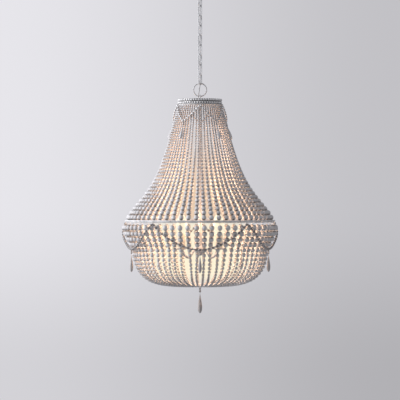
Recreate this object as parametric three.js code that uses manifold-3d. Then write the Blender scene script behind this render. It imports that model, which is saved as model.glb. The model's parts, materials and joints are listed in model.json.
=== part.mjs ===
// A basket chandelier of wooden beads, hung on a chain from a ceiling canopy.
// Millimetres, +Z up. The origin is the centre of the ceiling face, and everything hangs below it.
import * as THREE from "three";
import { mergeVertices } from "three/addons/utils/BufferGeometryUtils.js";
import Module from "manifold-3d";

const wasm = await Module();
wasm.setup();

// Clearances and overruns
const gap = 0.3; // between pieces that touch
const slantGap = 0.8; // between the last link and the hanging ring, which cross at a slant
const threadDepth = 1.4; // from the barrel to the collar's bore, where both threads would be
const overrun = 1; // how far joined shapes run into each other

// Ceiling fitting
const strapLength = 104;
const strapWidth = 22;
const strapThickness = 2.4;
const canopyRadius = 62;
const canopyHeight = 32;
const canopyWall = 1.6;
const nippleRadius = 5;
const barrelRadius = 13;
const barrelLength = 19.5;
const barrelRise = 8; // how far the barrel stands up into the canopy
const collarWidth = 5;
const collarHeight = 7;
const loopEyeRadius = 7;
const loopWire = 4.5;
const barrelCordOffset = 9.4; // from the chain's axis to the cord's blind hole in the barrel

// Chain and hanging ring
const linkCount = 9;
const linkPitch = 31.6;
const linkWidth = 17;
const linkWire = 3.4;
const hangingRingRadius = 23;
const hangingRingWire = 3.9;

// Supply cord, woven through the chain
const cordDiameter = 3.2;
const cordOffset = 5.3; // from the chain's axis to the cord, where it passes each contact

// Crown
const crownLoopEyeRadius = 6;
const crownLoopWire = 3.6;
const stemCapRadius = 8.4;
const stemCapHeight = 7;
const crownDrop = 8.6; // from the hanging ring's lower contact to the top of the crown
const crownHeight = 18.6;
const crownWallRadius = 65.5;
const crownWallThickness = 2.6;
const crownFlangeRadius = 70.9;
const crownFlangeThickness = 2;
const crownBeadWidth = 6;
const crownHubRadius = 15;
const crownHubHeight = 7;
const cordHoleOffset = 10.6; // from the stem's axis to the cord's blind hole in the crown hub
const cordHoleDepth = 4.5;

// Strands and their beads
const swagCount = 5;
const strandsPerSwag = 12;
const strandTopRadius = 68.5;
const upperStrandInset = 9.5; // from the waist ring's edge in to the upper strands' middle
const upperShadeHeight = 373.3; // from the crown's underside to the waist ring's top
const smallBead = 6.3;
const largeBead = 17;
const middleBead = 10.5; // where the tails start
const tailBead = 7.5;
const laceWidth = 2.4; // the wire that laces the strands' ends to a ring
const threadWidth = 1.6; // the strands' own wire, bare where it hooks on

// Waist ring
const waistOuterRadius = 242;
const waistRingWidth = 15;
const waistHeight = 5;
const waistHubRadius = 12;
const spokeRadius = 2.5;

// Lower basket
const lowerStrandInset = 3; // from the waist ring's edge in to the lower strands' middle
const basketRadius = 217; // of the basket's body, without its shoulder
const shoulderSwell = 26.5; // how far the shoulder swells out from the body
const shoulderFall = 81; // from the widest place down to where the swell ends
const basketShoulder = 22; // depth of the widest place below the waist ring's middle
const basketDepth = 214;
const largeBeadDepth = 12; // from the waist ring's middle down to the first large beads
const middleBeadDepth = 67; // the beads taper from here down to the tails
const tailBeadDepth = 128;
const bottomRingOuterRadius = 78;
const bottomRingInnerRadius = 70;
const bottomRingHeight = 4;
const bottomHubRadius = 11;
const bottomHubHeight = 7;

// Stem and lamps
const stemRadius = 6.5;
const stemBore = 4.4;
const lampCount = 4;
const lampHubRadius = 19;
const lampHubHeight = 24;
const lampHubDrop = 92; // from the waist ring's middle down to the lamp hub's middle
const stemNutRadius = 10;
const stemNutHeight = 9;
const armRadius = 3.6;
const armReach = 84;
const armSag = 26;
const socketRadius = 13;
const socketBore = 9.2;
const socketHeight = 46;
const socketFloor = 6;
const socketDrop = 88; // from the waist ring's middle down to the sockets' feet
const panRadius = 21;
const panHeight = 4;
const bulbCapRadius = 8.6;
const bulbCapHeight = 24;
const bulbRadius = 17.5;
const bulbHeight = 72;
const bulbNeckRadius = 7;
const bulbTipRadius = 1.2;

// Garlands, drops and finial
const crownGarlandBead = 5;
const crownGarlandDrop = 52; // from a tie down to the lowest bead
const waistGarlandBead = 6.4;
const waistGarlandDrop = 82;
const waistTieDrop = 8; // from the waist ring's middle down to a tie
const garlandEase = 0.6; // extra room under the waist garland, whose own stretches are straight
const crownDropBead = 6;
const crownDropLength = 58;
const crownDropWidth = 9.5;
const waistDropBead = 6.4;
const waistDropLength = 70;
const waistDropWidth = 11.4;
const finialBead = 8;
const finialLength = 83;
const finialWidth = 14.2;
const dropNeckRadius = 1.6;
const finialNeckLength = 4;

// Shares, and counts of facets
const crownSwagCurve = 1.2; // exponent of the crown garland's swags, 1 for straight sides
const waistSwagCurve = 2;
const upperStraightShare = 0.6; // how much of the tent's flare is straight rather than a late curl
const upperCurlExponent = 5;
const tentSpacing = 1.2; // exponent that crowds the upper strands' stations towards the waist
const basketRoundness = 4; // exponent of the basket body's outline, 2 for an ellipse
const gradingShare = 0.67; // the stretch of the upper strands over which the beads grow
const hubLipShare = 0.7; // of the lamp hub's radius, at its top and bottom
const nutTipShare = 0.6; // of the stem nut's radius, at its tip
const lastBeadShare = 0.2; // of a large bead, the rise of the strands' last station over the ring
const bulbShares = [
  [0.8, 0.18],
  [1, 0.36],
  [0.86, 0.6],
  [0.45, 0.84],
]; // of a bulb's radius and height, from its cap up
const cordHoleAzimuth = Math.PI / 4; // the crown hub's cord hole lies front left
const tearShares = [
  [0.28, 0.42],
  [0.52, 0.8],
  [0.72, 1],
  [0.9, 0.7],
  [1, 0],
]; // of a teardrop's length and width, from its top down
const roundSides = 20;
const wireSides = 5;
const garlandSides = 6;
const smallSides = 12;
const bulbSides = 10;
const hoopSides = 30;
const waistSides = 50;
const strandSides = 3;

// Finishes
const finish = {
  metal: { color: 0xa7a5a6, roughness: 0.55, metalness: 0.35 },
  bead: { color: 0xc9c6c6, roughness: 0.75, metalness: 0 },
  darkBead: { color: 0xa39b96, roughness: 0.75, metalness: 0 },
  cord: { color: 0xb9b7b8, roughness: 0.6, metalness: 0 },
  socket: { color: 0xe9e4da, roughness: 0.5, metalness: 0 },
  bulb: { color: 0xfff0cc, roughness: 0.15, metalness: 0 },
};

// Levels, worked out downwards from the ceiling
const strapBottom = -strapThickness;
const barrelTop = -canopyHeight + barrelRise;
const barrelBottom = barrelTop - barrelLength;
const collarTop = -canopyHeight - gap;
const loopCentre = barrelBottom - loopEyeRadius - loopWire + overrun;
const firstContact = loopCentre - loopEyeRadius + gap / 2;
const lastContact = firstContact - linkCount * linkPitch;
const ringInnerRadius = hangingRingRadius - hangingRingWire;
const hangingRingCentre = lastContact + slantGap - gap / 2 - ringInnerRadius;
const crownContact = hangingRingCentre - ringInnerRadius + gap / 2;
const crownLoopCentre = crownContact + gap / 2 - crownLoopEyeRadius;
const stemCapTop = crownLoopCentre - crownLoopEyeRadius - crownLoopWire + overrun;
const crownHubTop = stemCapTop - stemCapHeight - gap;
const crownHubBottom = crownHubTop - crownHubHeight;
const crownTop = crownContact - crownDrop;
const crownBottom = crownTop - crownHeight;
const waistTop = crownBottom - upperShadeHeight;
const waistMiddle = waistTop - waistHeight / 2;
const waistBottom = waistTop - waistHeight;
const lowerWireLevel = waistBottom - gap - laceWidth / 2;
const basketFall = basketDepth - basketShoulder - tailBead / 2;
const waistInnerRadius = waistOuterRadius - waistRingWidth;
const strandWaistRadius = waistOuterRadius - upperStrandInset;

// Outlines shared by the strands, the garlands and the drops

// Radius of the upper strands' middle at a height share: 0 at the waist ring, 1 at the crown
function tentRadius(share) {
  const away = 1 - share;
  const curl = Math.sin((Math.PI / 2) * away ** upperCurlExponent);
  const flare = upperStraightShare * away + (1 - upperStraightShare) * curl;
  return strandTopRadius + (strandWaistRadius - strandTopRadius) * flare;
}

// Bead diameter on the upper strands at a height share
function tentBead(share) {
  return Math.max(smallBead, largeBead - (largeBead - smallBead) * (share / gradingShare));
}

// Middle of a lower strand on the basket's body: turn 0 at the widest place, a quarter turn at
// the bottom
function basketPoint(turn) {
  const out = Math.cos(turn) ** (2 / basketRoundness);
  const down = Math.sin(turn) ** (2 / basketRoundness);
  return [basketRadius * out, waistMiddle - basketShoulder - basketFall * down];
}

// Radius of the basket's strand middles at a level, above its turn to the bottom
function basketRadiusAt(level) {
  const below = waistMiddle - basketShoulder - level;
  const start = waistOuterRadius - lowerStrandInset;
  if (below <= 0) {
    const lift = below / (lowerWireLevel - waistMiddle + basketShoulder);
    return basketRadius + shoulderSwell - (basketRadius + shoulderSwell - start) * lift ** 2;
  }
  const swell = (1 + Math.cos(Math.PI * Math.min(below / shoulderFall, 1))) / 2;
  const body = (1 - (below / basketFall) ** basketRoundness) ** (1 / basketRoundness);
  return basketRadius * body + shoulderSwell * swell;
}

// Geometry helpers

// A three.js geometry as a solid that can be joined and cut
function solid(geometry) {
  const plain = geometry.clone();
  plain.deleteAttribute("normal");
  plain.deleteAttribute("uv");
  const merged = mergeVertices(plain, gap / 1000);
  return new wasm.Manifold(
    new wasm.Mesh({
      numProp: 3,
      vertProperties: merged.getAttribute("position").array,
      triVerts: new Uint32Array(merged.index.array),
    }),
  );
}

// A joined or cut solid as a three.js geometry
function geometryOf(shape) {
  const mesh = shape.getMesh();
  const geometry = new THREE.BufferGeometry();
  geometry.setAttribute("position", new THREE.BufferAttribute(mesh.vertProperties, 3));
  geometry.setIndex(new THREE.BufferAttribute(mesh.triVerts, 1));
  const flat = geometry.toNonIndexed();
  flat.computeVertexNormals();
  return flat;
}

// Several geometries joined into one solid's geometry
function joined(...pieces) {
  return geometryOf(pieces.map(solid).reduce((sum, piece) => sum.add(piece)));
}

// The first geometry with the others cut out of it
function cut(body, ...tools) {
  return geometryOf(tools.map(solid).reduce((rest, tool) => rest.subtract(tool), solid(body)));
}

// A profile of [radius, level] points turned about the Z axis
function turned(profile, sides = roundSides) {
  const points = profile.map(([radius, level]) => new THREE.Vector2(radius, level));
  if (THREE.ShapeUtils.isClockWise(points)) points.reverse();
  if (points[0].x > 0 || points.at(-1).x > 0) points.push(points[0].clone());
  return new THREE.LatheGeometry(points, sides).rotateX(Math.PI / 2);
}

// A flat ring or a disc between two levels
function ring(inner, outer, bottom, top, sides = roundSides) {
  return turned([[inner, bottom], [outer, bottom], [outer, top], [inner, top]], sides);
}

// A regular polygon with the given number of corners, as the section of a tube
function section(radius, sides, turn) {
  const corners = [];
  for (let i = 0; i < sides; i++) {
    const angle = turn + (2 * Math.PI * i) / sides;
    corners.push(new THREE.Vector2(radius * Math.cos(angle), radius * Math.sin(angle)));
  }
  return new THREE.Shape(corners);
}

// A tube of constant thickness along an open curve
function tube(curve, radius, sides, steps, turn = 0) {
  return new THREE.ExtrudeGeometry(section(radius, sides, turn), {
    steps,
    extrudePath: curve,
    bevelEnabled: false,
  });
}

// A rod between two points
function rod(from, to, radius) {
  return tube(new THREE.LineCurve3(from, to), radius, 6, 1);
}

// The point beside a string's station: out 0 on its middle line, 1 on its outer edge
function besideStation(stations, index, out) {
  const [radius, level, thickness] = stations[index];
  const before = stations[Math.max(index - 1, 0)];
  const after = stations[Math.min(index + 1, stations.length - 1)];
  const along = new THREE.Vector2(after[0] - before[0], after[1] - before[1]).normalize();
  const offset = (out * thickness) / 2;
  return [radius - along.y * offset, level + along.x * offset];
}

// A string in an upright plane through the Z axis: stations are [radius, level, thickness],
// and one corner of its section faces outwards
function string(stations, azimuth) {
  const steps = stations.length - 1;
  const geometry = new THREE.CylinderGeometry(1, 1, 1, strandSides, steps, false, Math.PI / 2);
  const position = geometry.getAttribute("position");
  const vertex = new THREE.Vector3();
  for (let i = 0; i < position.count; i++) {
    vertex.fromBufferAttribute(position, i);
    const index = Math.round((0.5 - vertex.y) * steps);
    const [outward, height] = besideStation(stations, index, vertex.x);
    const aside = (vertex.z * stations[index][2]) / 2;
    position.setXYZ(
      i,
      outward * Math.sin(azimuth) - aside * Math.cos(azimuth),
      -outward * Math.cos(azimuth) - aside * Math.sin(azimuth),
      height,
    );
  }
  return geometry;
}

// The scene graph
const chandelier = new THREE.Group();
chandelier.name = "beaded_chandelier";

// A named piece with its finish, in the given group
function piece(name, geometry, look, group = chandelier) {
  const mesh = new THREE.Mesh(geometry, new THREE.MeshStandardMaterial(finish[look]));
  mesh.name = name;
  group.add(mesh);
  return mesh;
}

// A group turned about the Z axis, so that its -Y side faces the given azimuth
function turnedGroup(azimuth) {
  const group = new THREE.Group();
  group.rotation.z = azimuth;
  chandelier.add(group);
  return group;
}

// Azimuths of the garlands' ties and lowest points
const swagAngle = (2 * Math.PI) / swagCount;
const strandAngle = swagAngle / strandsPerSwag;
const linkPlane = Math.PI / 4; // the chain's links stand at 45 degrees to the front, turned in turns

// Ceiling fitting

// The steel strap that screws to the ceiling box
function ceilingStrap() {
  const strap = new THREE.BoxGeometry(strapLength, strapWidth, strapThickness);
  return strap.translate(0, 0, strapBottom / 2);
}

// A shallow bowl with a hole for the threaded barrel
function canopy() {
  const hole = barrelRadius + gap;
  const outside = [];
  const inside = [];
  const steps = 4;
  for (let i = 0; i <= steps; i++) {
    const turn = (Math.PI / 2) * (i / steps);
    const out = Math.cos(turn);
    const down = Math.sin(turn);
    outside.push([hole + (canopyRadius - hole) * out, -canopyHeight * down]);
    inside.push([
      hole + (canopyRadius - canopyWall - hole) * out,
      -(canopyHeight - canopyWall) * down,
    ]);
  }
  return turned([...outside, ...inside.reverse()]);
}

// The eye that the chain hangs from, with its barrel and its nipple up to the strap
function canopyLoop() {
  const shank = turned(
    [
      [0, strapBottom - gap],
      [nippleRadius, strapBottom - gap],
      [nippleRadius, barrelTop],
      [barrelRadius, barrelTop],
      [barrelRadius, barrelBottom],
      [0, barrelBottom],
    ],
    roundSides,
  );
  const eye = new THREE.TorusGeometry(loopEyeRadius + loopWire / 2, loopWire / 2, 6, 12);
  eye.rotateX(Math.PI / 2).rotateZ(-linkPlane).translate(0, 0, loopCentre);
  const cordHole = turned(
    [
      [0, barrelBottom - overrun],
      [cordDiameter / 2 + gap, barrelBottom - overrun],
      [cordDiameter / 2 + gap, barrelBottom + cordHoleDepth],
      [0, barrelBottom + cordHoleDepth],
    ],
    8,
  ).translate(0, barrelCordOffset, 0);
  return cut(joined(shank, eye), cordHole);
}

piece("ceiling_strap", ceilingStrap(), "metal");
piece("canopy", canopy(), "metal");
piece(
  "canopy_collar",
  ring(barrelRadius + threadDepth, barrelRadius + collarWidth, collarTop - collarHeight, collarTop),
  "metal",
);
piece("canopy_loop", canopyLoop(), "metal");

// Chain and hanging ring

// The middle line of a chain link: two straight sides and two half rounds, in the XZ plane.
// It starts at the top, so that a station falls on each contact.
class LinkLine extends THREE.Curve {
  constructor(halfStraight, radius) {
    super();
    this.halfStraight = halfStraight;
    this.radius = radius;
  }

  getPoint(share, target = new THREE.Vector3()) {
    const bend = Math.PI * this.radius;
    const side = 2 * this.halfStraight;
    const start = side + bend / 2;
    let walked = (share * 2 * (bend + side) + start) % (2 * (bend + side));
    const lower = walked >= bend + side;
    if (lower) walked -= bend + side;
    const sign = lower ? -1 : 1;
    if (walked < side) {
      return target.set(sign * this.radius, 0, sign * (walked - this.halfStraight));
    }
    const turn = (walked - side) / this.radius;
    return target.set(
      sign * this.radius * Math.cos(turn),
      0,
      sign * (this.halfStraight + this.radius * Math.sin(turn)),
    );
  }
}

// One link, with its wires' inner faces half a gap past the two contacts
function chainLink() {
  const bendRadius = (linkWidth - linkWire) / 2;
  const halfHeight = (linkPitch + gap + linkWire) / 2;
  const line = new LinkLine(halfHeight - bendRadius, bendRadius);
  return new THREE.TubeGeometry(line, 14, linkWire / 2, wireSides, true);
}

for (let i = 0; i < linkCount; i++) {
  const link = piece(`chain_link_${i + 1}`, chainLink(), "metal");
  link.position.z = firstContact - (i + 0.5) * linkPitch;
  link.rotation.z = i % 2 === 0 ? linkPlane : -linkPlane;
}

const hangingRing = piece(
  "hanging_ring",
  new THREE.TorusGeometry(hangingRingRadius - hangingRingWire / 2, hangingRingWire / 2, 6, 24),
  "metal",
);
hangingRing.rotation.x = Math.PI / 2;
hangingRing.position.z = hangingRingCentre;

// Supply cord: out of the barrel, to and fro through the links, through the ring and into the crown
function cordRoute() {
  const points = [
    new THREE.Vector3(0, barrelCordOffset, barrelBottom + cordHoleDepth - gap),
    new THREE.Vector3(0, barrelCordOffset, barrelBottom - loopWire / 2),
  ];
  for (let i = 0; i <= linkCount; i++) {
    const side = i % 2 === 0 ? cordOffset : -cordOffset;
    const level = firstContact - i * linkPitch;
    const out = i === 0 ? loopWire / 2 : 0;
    points.push(new THREE.Vector3(0, side + out, level));
    if (i < linkCount) points.push(new THREE.Vector3(0, 0, level - linkPitch / 2));
  }
  const besideLoop = crownLoopWire / 2 + cordDiameter;
  const across = cordHoleOffset * Math.sin(cordHoleAzimuth);
  const forward = cordHoleOffset * Math.cos(cordHoleAzimuth);
  points.push(
    new THREE.Vector3(-besideLoop / 2, -cordOffset, hangingRingCentre),
    new THREE.Vector3(-besideLoop, -cordOffset, crownContact),
    new THREE.Vector3(-across, -forward, stemCapTop - stemCapHeight / 2),
    new THREE.Vector3(-across, -forward, crownHubTop - cordHoleDepth + gap),
  );
  return new THREE.CatmullRomCurve3(points, false, "centripetal");
}

const route = cordRoute();
const cordSteps = Math.ceil(route.getLength() / (3 * cordDiameter));
piece("supply_cord", tube(route, cordDiameter / 2, 8, cordSteps), "cord");

// Crown

// A small eye on a cap, screwed to the top of the stem
function crownLoop() {
  const eye = new THREE.TorusGeometry(
    crownLoopEyeRadius + crownLoopWire / 2,
    crownLoopWire / 2,
    6,
    12,
  );
  eye.rotateY(Math.PI / 2).translate(0, 0, crownLoopCentre);
  const cap = turned(
    [
      [0, stemCapTop - stemCapHeight],
      [stemCapRadius, stemCapTop - stemCapHeight],
      [stemCapRadius, stemCapTop],
      [0, stemCapTop],
    ],
    smallSides,
  );
  return joined(cap, eye);
}

// Straight spokes from a hub to a ring
function spokes(count, inner, outer, level, firstAzimuth) {
  const rods = [];
  for (let i = 0; i < count; i++) {
    const azimuth = firstAzimuth + (2 * Math.PI * i) / count;
    const way = new THREE.Vector3(Math.sin(azimuth), -Math.cos(azimuth), 0);
    const from = way.clone().multiplyScalar(inner).setZ(level);
    const to = way.clone().multiplyScalar(outer).setZ(level);
    rods.push(rod(from, to, spokeRadius));
  }
  return rods;
}

// An angle-section ring with four spokes and a hub, which the strands and both bead rows hang on
function crownFrame() {
  const innerRadius = crownWallRadius - crownWallThickness;
  const rim = turned(
    [
      [innerRadius, crownBottom],
      [crownFlangeRadius, crownBottom],
      [crownFlangeRadius, crownBottom + crownFlangeThickness],
      [crownWallRadius, crownBottom + crownFlangeThickness],
      [crownWallRadius, crownTop],
      [innerRadius, crownTop],
    ],
    hoopSides,
  );
  const hub = ring(stemRadius + gap, crownHubRadius, crownHubBottom, crownHubTop, smallSides);
  const reach = crownWallRadius - crownWallThickness / 2;
  const level = (crownHubTop + crownHubBottom) / 2;
  const arms = spokes(4, (stemRadius + crownHubRadius) / 2, reach, level, 0);
  const cordHole = ring(0, cordDiameter / 2 + gap, crownHubTop - cordHoleDepth, crownHubTop + overrun, 8);
  cordHole.translate(0, -cordHoleOffset, 0).rotateZ(-cordHoleAzimuth);
  return cut(joined(rim, hub, ...arms), cordHole);
}

piece("crown_loop", crownLoop(), "metal");
piece("crown_frame", crownFrame(), "metal");

// Two rows of small upright beads, each threaded into a ring round the crown's wall
const crownRowHeight = (crownHeight - crownFlangeThickness - 2 * gap) / 2;
for (let row = 0; row < 2; row++) {
  const bottom = crownBottom + crownFlangeThickness + gap + row * (crownRowHeight + gap);
  const inner = crownWallRadius + gap;
  const bead = turned(
    [
      [inner, bottom + crownRowHeight / 4],
      [inner + crownBeadWidth / 2, bottom],
      [inner + crownBeadWidth, bottom + crownRowHeight / 4],
      [inner + crownBeadWidth, bottom + (crownRowHeight * 3) / 4],
      [inner + crownBeadWidth / 2, bottom + crownRowHeight],
      [inner, bottom + (crownRowHeight * 3) / 4],
    ],
    hoopSides,
  );
  piece(row === 0 ? "crown_beads_lower" : "crown_beads_upper", bead, "bead");
}

// Stem, lamp hub and lamps

const lampHubTop = waistMiddle - lampHubDrop + lampHubHeight / 2;
const lampHubBottom = lampHubTop - lampHubHeight;
const stemBottom = lampHubBottom - stemNutHeight / 2;

piece("centre_stem", ring(stemBore, stemRadius, stemBottom, crownHubTop, smallSides), "metal");

// A turned hub with a rounded waist
function lampHub() {
  const bore = stemRadius + gap;
  const middle = (lampHubTop + lampHubBottom) / 2;
  const lip = lampHubHeight / 6;
  return turned(
    [
      [bore, lampHubBottom],
      [lampHubRadius * hubLipShare, lampHubBottom],
      [lampHubRadius, middle - lip],
      [lampHubRadius, middle + lip],
      [lampHubRadius * hubLipShare, lampHubTop],
      [bore, lampHubTop],
    ],
    smallSides,
  );
}

// A blind nut under the lamp hub
function stemNut() {
  const top = lampHubBottom - gap;
  const bottom = top - stemNutHeight;
  const bore = stemRadius + gap;
  return turned(
    [
      [0, bottom],
      [stemNutRadius * nutTipShare, bottom],
      [stemNutRadius, (top + bottom) / 2],
      [stemNutRadius, top],
      [bore, top],
      [bore, stemBottom - gap],
      [0, stemBottom - gap],
    ],
    smallSides,
  );
}

piece("lamp_hub", lampHub(), "metal");
piece("stem_nut", stemNut(), "metal");

const socketFoot = waistMiddle - socketDrop;
const hubSide = lampHubRadius + gap;

// A curved arm in the -Y direction, from the hub's side down and up to the socket's foot
function lampArm() {
  const start = (lampHubTop + lampHubBottom) / 2;
  const low = start - armSag;
  const line = new THREE.CatmullRomCurve3([
    new THREE.Vector3(0, -hubSide, start),
    new THREE.Vector3(0, -(hubSide + armRadius), start),
    new THREE.Vector3(0, -(hubSide + armReach) / 2, low),
    new THREE.Vector3(0, -(armReach - armRadius * 2), (start + low) / 2),
    new THREE.Vector3(0, -armReach, socketFoot - panHeight - gap + overrun),
  ]);
  const pan = ring(0, panRadius, socketFoot - panHeight - gap, socketFoot - gap, bulbSides);
  return joined(tube(line, armRadius, 6, 7), pan.translate(0, -armReach, 0));
}

// A candle sleeve with the lamp holder's bore in it
function lampSocket() {
  const floor = socketFoot + socketFloor;
  const top = socketFoot + socketHeight;
  return turned(
    [
      [0, socketFoot],
      [socketRadius, socketFoot],
      [socketRadius, top],
      [socketBore, top],
      [socketBore, floor],
      [0, floor],
    ],
    smallSides,
  ).translate(0, -armReach, 0);
}

// A candle bulb: screw cap, swelling glass and a drawn tip
function bulb() {
  const capBottom = socketFoot + socketHeight - bulbCapHeight;
  const glass = socketFoot + socketHeight + gap;
  return turned(
    [
      [0, capBottom],
      [bulbNeckRadius, capBottom],
      [bulbCapRadius, capBottom + gap],
      [bulbCapRadius, glass],
      ...bulbShares.map(([out, up]) => [bulbRadius * out, glass + bulbHeight * up]),
      [bulbTipRadius, glass + bulbHeight],
      [0, glass + bulbHeight],
    ],
    bulbSides,
  ).translate(0, -armReach, 0);
}

for (let i = 0; i < lampCount; i++) {
  const group = turnedGroup(((i + 0.5) * 2 * Math.PI) / lampCount);
  piece(`lamp_arm_${i + 1}`, lampArm(), "metal", group);
  piece(`lamp_socket_${i + 1}`, lampSocket(), "socket", group);
  piece(`bulb_${i + 1}`, bulb(), "bulb", group);
}

// Waist ring: a flat hoop with four spokes and a hub that slides over the stem
function waistRing() {
  const hoop = ring(waistInnerRadius, waistOuterRadius, waistBottom, waistTop, waistSides);
  const hub = ring(stemRadius + gap, waistHubRadius, waistBottom - overrun, waistTop + overrun, smallSides);
  const inner = (stemRadius + waistHubRadius) / 2;
  const outer = (waistInnerRadius + waistOuterRadius) / 2;
  return joined(hoop, hub, ...spokes(4, inner, outer, waistMiddle, 0));
}

piece("waist_ring", waistRing(), "metal");

// Bead strands

// A flat-sided wire that laces one swag's strands to their ring, centred on the -Y direction
function lacing(radius, level) {
  const line = new THREE.CatmullRomCurve3([]);
  for (let i = 0; i <= strandsPerSwag; i++) {
    const azimuth = (i - strandsPerSwag / 2) * strandAngle * (1 - gap / radius);
    line.points.push(
      new THREE.Vector3(radius * Math.sin(azimuth), -radius * Math.cos(azimuth), level),
    );
  }
  return tube(line, laceWidth / Math.SQRT2, 4, strandsPerSwag, Math.PI / 4);
}

// Twelve strings side by side, laced by a wire
function strandGroup(stations, wireRadius, wireLevel) {
  const strings = [];
  for (let i = 0; i < strandsPerSwag; i++) {
    strings.push(string(stations, (i + 0.5 - strandsPerSwag / 2) * strandAngle));
  }
  return joined(lacing(wireRadius, wireLevel), ...strings);
}

// The upper strands' outline, from the crown down to the waist ring
function upperStations() {
  const wireLevel = crownBottom - gap - laceWidth / 2;
  const firstLevel = wireLevel - laceWidth;
  const lastLevel = waistTop + largeBead / 2;
  const steps = 5;
  const stations = [[strandTopRadius, wireLevel, threadWidth]];
  for (let i = 0; i <= steps; i++) {
    const level = lastLevel + (firstLevel - lastLevel) * (1 - i / steps) ** tentSpacing;
    const share = (level - waistTop) / upperShadeHeight;
    stations.push([tentRadius(share), level, tentBead(share)]);
  }
  const seat = waistTop + gap + largeBead * lastBeadShare;
  stations.push([tentRadius((seat - waistTop) / upperShadeHeight), seat, largeBead / 2]);
  return stations;
}

// The lower strands' outline, from the waist ring under the basket to the bottom ring
const basketEndRadius = bottomRingOuterRadius + 2 * gap;
const endTurn = Math.acos((basketEndRadius / basketRadius) ** (basketRoundness / 2));
const tailTurn = Math.asin(
  ((tailBeadDepth - basketShoulder) / basketFall) ** (basketRoundness / 2),
);

function lowerStations() {
  const at = (depth, width) => {
    const level = waistMiddle - depth;
    return [basketRadiusAt(level), level, width];
  };
  const stations = [
    [basketRadiusAt(lowerWireLevel), lowerWireLevel, threadWidth],
    at(largeBeadDepth - laceWidth, threadWidth),
    at(largeBeadDepth, largeBead),
    at((largeBeadDepth + middleBeadDepth) / 2, largeBead),
    at(middleBeadDepth, largeBead),
    at((middleBeadDepth + tailBeadDepth) / 2, (largeBead + middleBead) / 2),
  ];
  const steps = 4;
  for (let i = 0; i <= steps; i++) {
    const share = i / steps;
    const point = basketPoint(tailTurn + (endTurn - tailTurn) * share);
    stations.push([...point, middleBead + (tailBead - middleBead) * share]);
  }
  return stations;
}

const upperStrings = upperStations();
const lowerStrings = lowerStations();
for (let i = 0; i < swagCount; i++) {
  const group = turnedGroup(i * swagAngle);
  const upper = strandGroup(upperStrings, upperStrings[0][0], upperStrings[0][1]);
  const lower = strandGroup(lowerStrings, lowerStrings[0][0], lowerStrings[0][1]);
  piece(`upper_strands_${i + 1}`, upper, "bead", group);
  piece(`lower_strands_${i + 1}`, lower, "bead", group);
}

// Bottom ring: a small hoop with five spokes and a hub, with a pin below it for the finial
const bottomRingLevel = basketPoint(endTurn)[1];
const bottomHubBottom = bottomRingLevel - bottomRingHeight / 2;
function bottomRing() {
  const top = bottomRingLevel + bottomRingHeight / 2;
  const hoop = ring(bottomRingInnerRadius, bottomRingOuterRadius, bottomHubBottom, top, hoopSides);
  const hub = ring(0, bottomHubRadius, bottomHubBottom, bottomHubBottom + bottomHubHeight, smallSides);
  const pin = ring(0, dropNeckRadius, bottomHubBottom - finialNeckLength, top, 6);
  const outer = (bottomRingInnerRadius + bottomRingOuterRadius) / 2;
  return joined(hoop, hub, pin, ...spokes(swagCount, 0, outer, bottomRingLevel, 0));
}

piece("bottom_ring", bottomRing(), "metal");

// Garlands

// A closed beaded line round the shade that dips between its ties
class GarlandLine extends THREE.Curve {
  constructor(firstTie, tieLevel, drop, exponent, radiusAt) {
    super();
    Object.assign(this, { firstTie, tieLevel, drop, exponent, radiusAt });
  }

  getPoint(share, target = new THREE.Vector3()) {
    const azimuth = this.firstTie + share * 2 * Math.PI;
    const fromLowest = Math.abs(((share * swagCount) % 1) * 2 - 1);
    const level = this.tieLevel - this.drop * (1 - fromLowest ** this.exponent);
    const radius = this.radiusAt(level);
    return target.set(radius * Math.sin(azimuth), -radius * Math.cos(azimuth), level);
  }

  // Stations lie at equal azimuths, so that one falls on each tie and each lowest point
  getPointAt(share, target) {
    return this.getPoint(share, target);
  }

  getTangentAt(share, target) {
    return this.getTangent(share, target);
  }
}

const crownSwagSteps = 6;
const waistSwagSteps = 2 * strandsPerSwag; // its stations lie over and between the strands

// Radius of the crown garland's middle at a level, clear of the crown and the upper strands
function crownGarlandRadius(level) {
  const share = (level - waistTop) / upperShadeHeight;
  const strands = tentRadius(share) + tentBead(share) / 2;
  const under = Math.max(strands, crownFlangeRadius);
  // a straight stretch between two stations lies this far inside their circle
  const sagitta = under * (1 - Math.cos(swagAngle / crownSwagSteps / 2));
  return under + gap + sagitta + crownGarlandBead / 2;
}

// The lower strings' outer edge as [radius, level] points, from their first beads down
const lowerEdge = [];
lowerStrings.forEach(([, , thickness], index) => {
  if (thickness > threadWidth) lowerEdge.push(besideStation(lowerStrings, index, 1));
});

// Radius of the waist garland's middle at a level, clear of the lower strings
function waistGarlandRadius(level) {
  const below = lowerEdge.findIndex(([, edgeLevel]) => edgeLevel < level);
  const [lowerRadius, lowerLevel] = lowerEdge[below];
  const [upperRadius, upperLevel] = lowerEdge[Math.max(below - 1, 0)];
  const share = below === 0 ? 0 : (upperLevel - level) / (upperLevel - lowerLevel);
  const under = upperRadius + (lowerRadius - upperRadius) * share;
  return under + gap + garlandEase + waistGarlandBead / 2;
}

const crownTieLevel = crownBottom - crownGarlandBead / 2;
const waistTieLevel = waistMiddle - waistTieDrop;
const crownLine = new GarlandLine(
  0,
  crownTieLevel,
  crownGarlandDrop,
  crownSwagCurve,
  crownGarlandRadius,
);
const waistLine = new GarlandLine(
  swagAngle / 2,
  waistTieLevel,
  waistGarlandDrop,
  waistSwagCurve,
  waistGarlandRadius,
);
const crownGarland = new THREE.TubeGeometry(
  crownLine,
  swagCount * crownSwagSteps,
  crownGarlandBead / 2,
  garlandSides,
  true,
);
const waistGarland = new THREE.TubeGeometry(
  waistLine,
  swagCount * waistSwagSteps,
  waistGarlandBead / 2,
  garlandSides,
  true,
);
piece("crown_garland", crownGarland, "bead");
piece("waist_garland", waistGarland, "darkBead");

// Drops and finial

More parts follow.
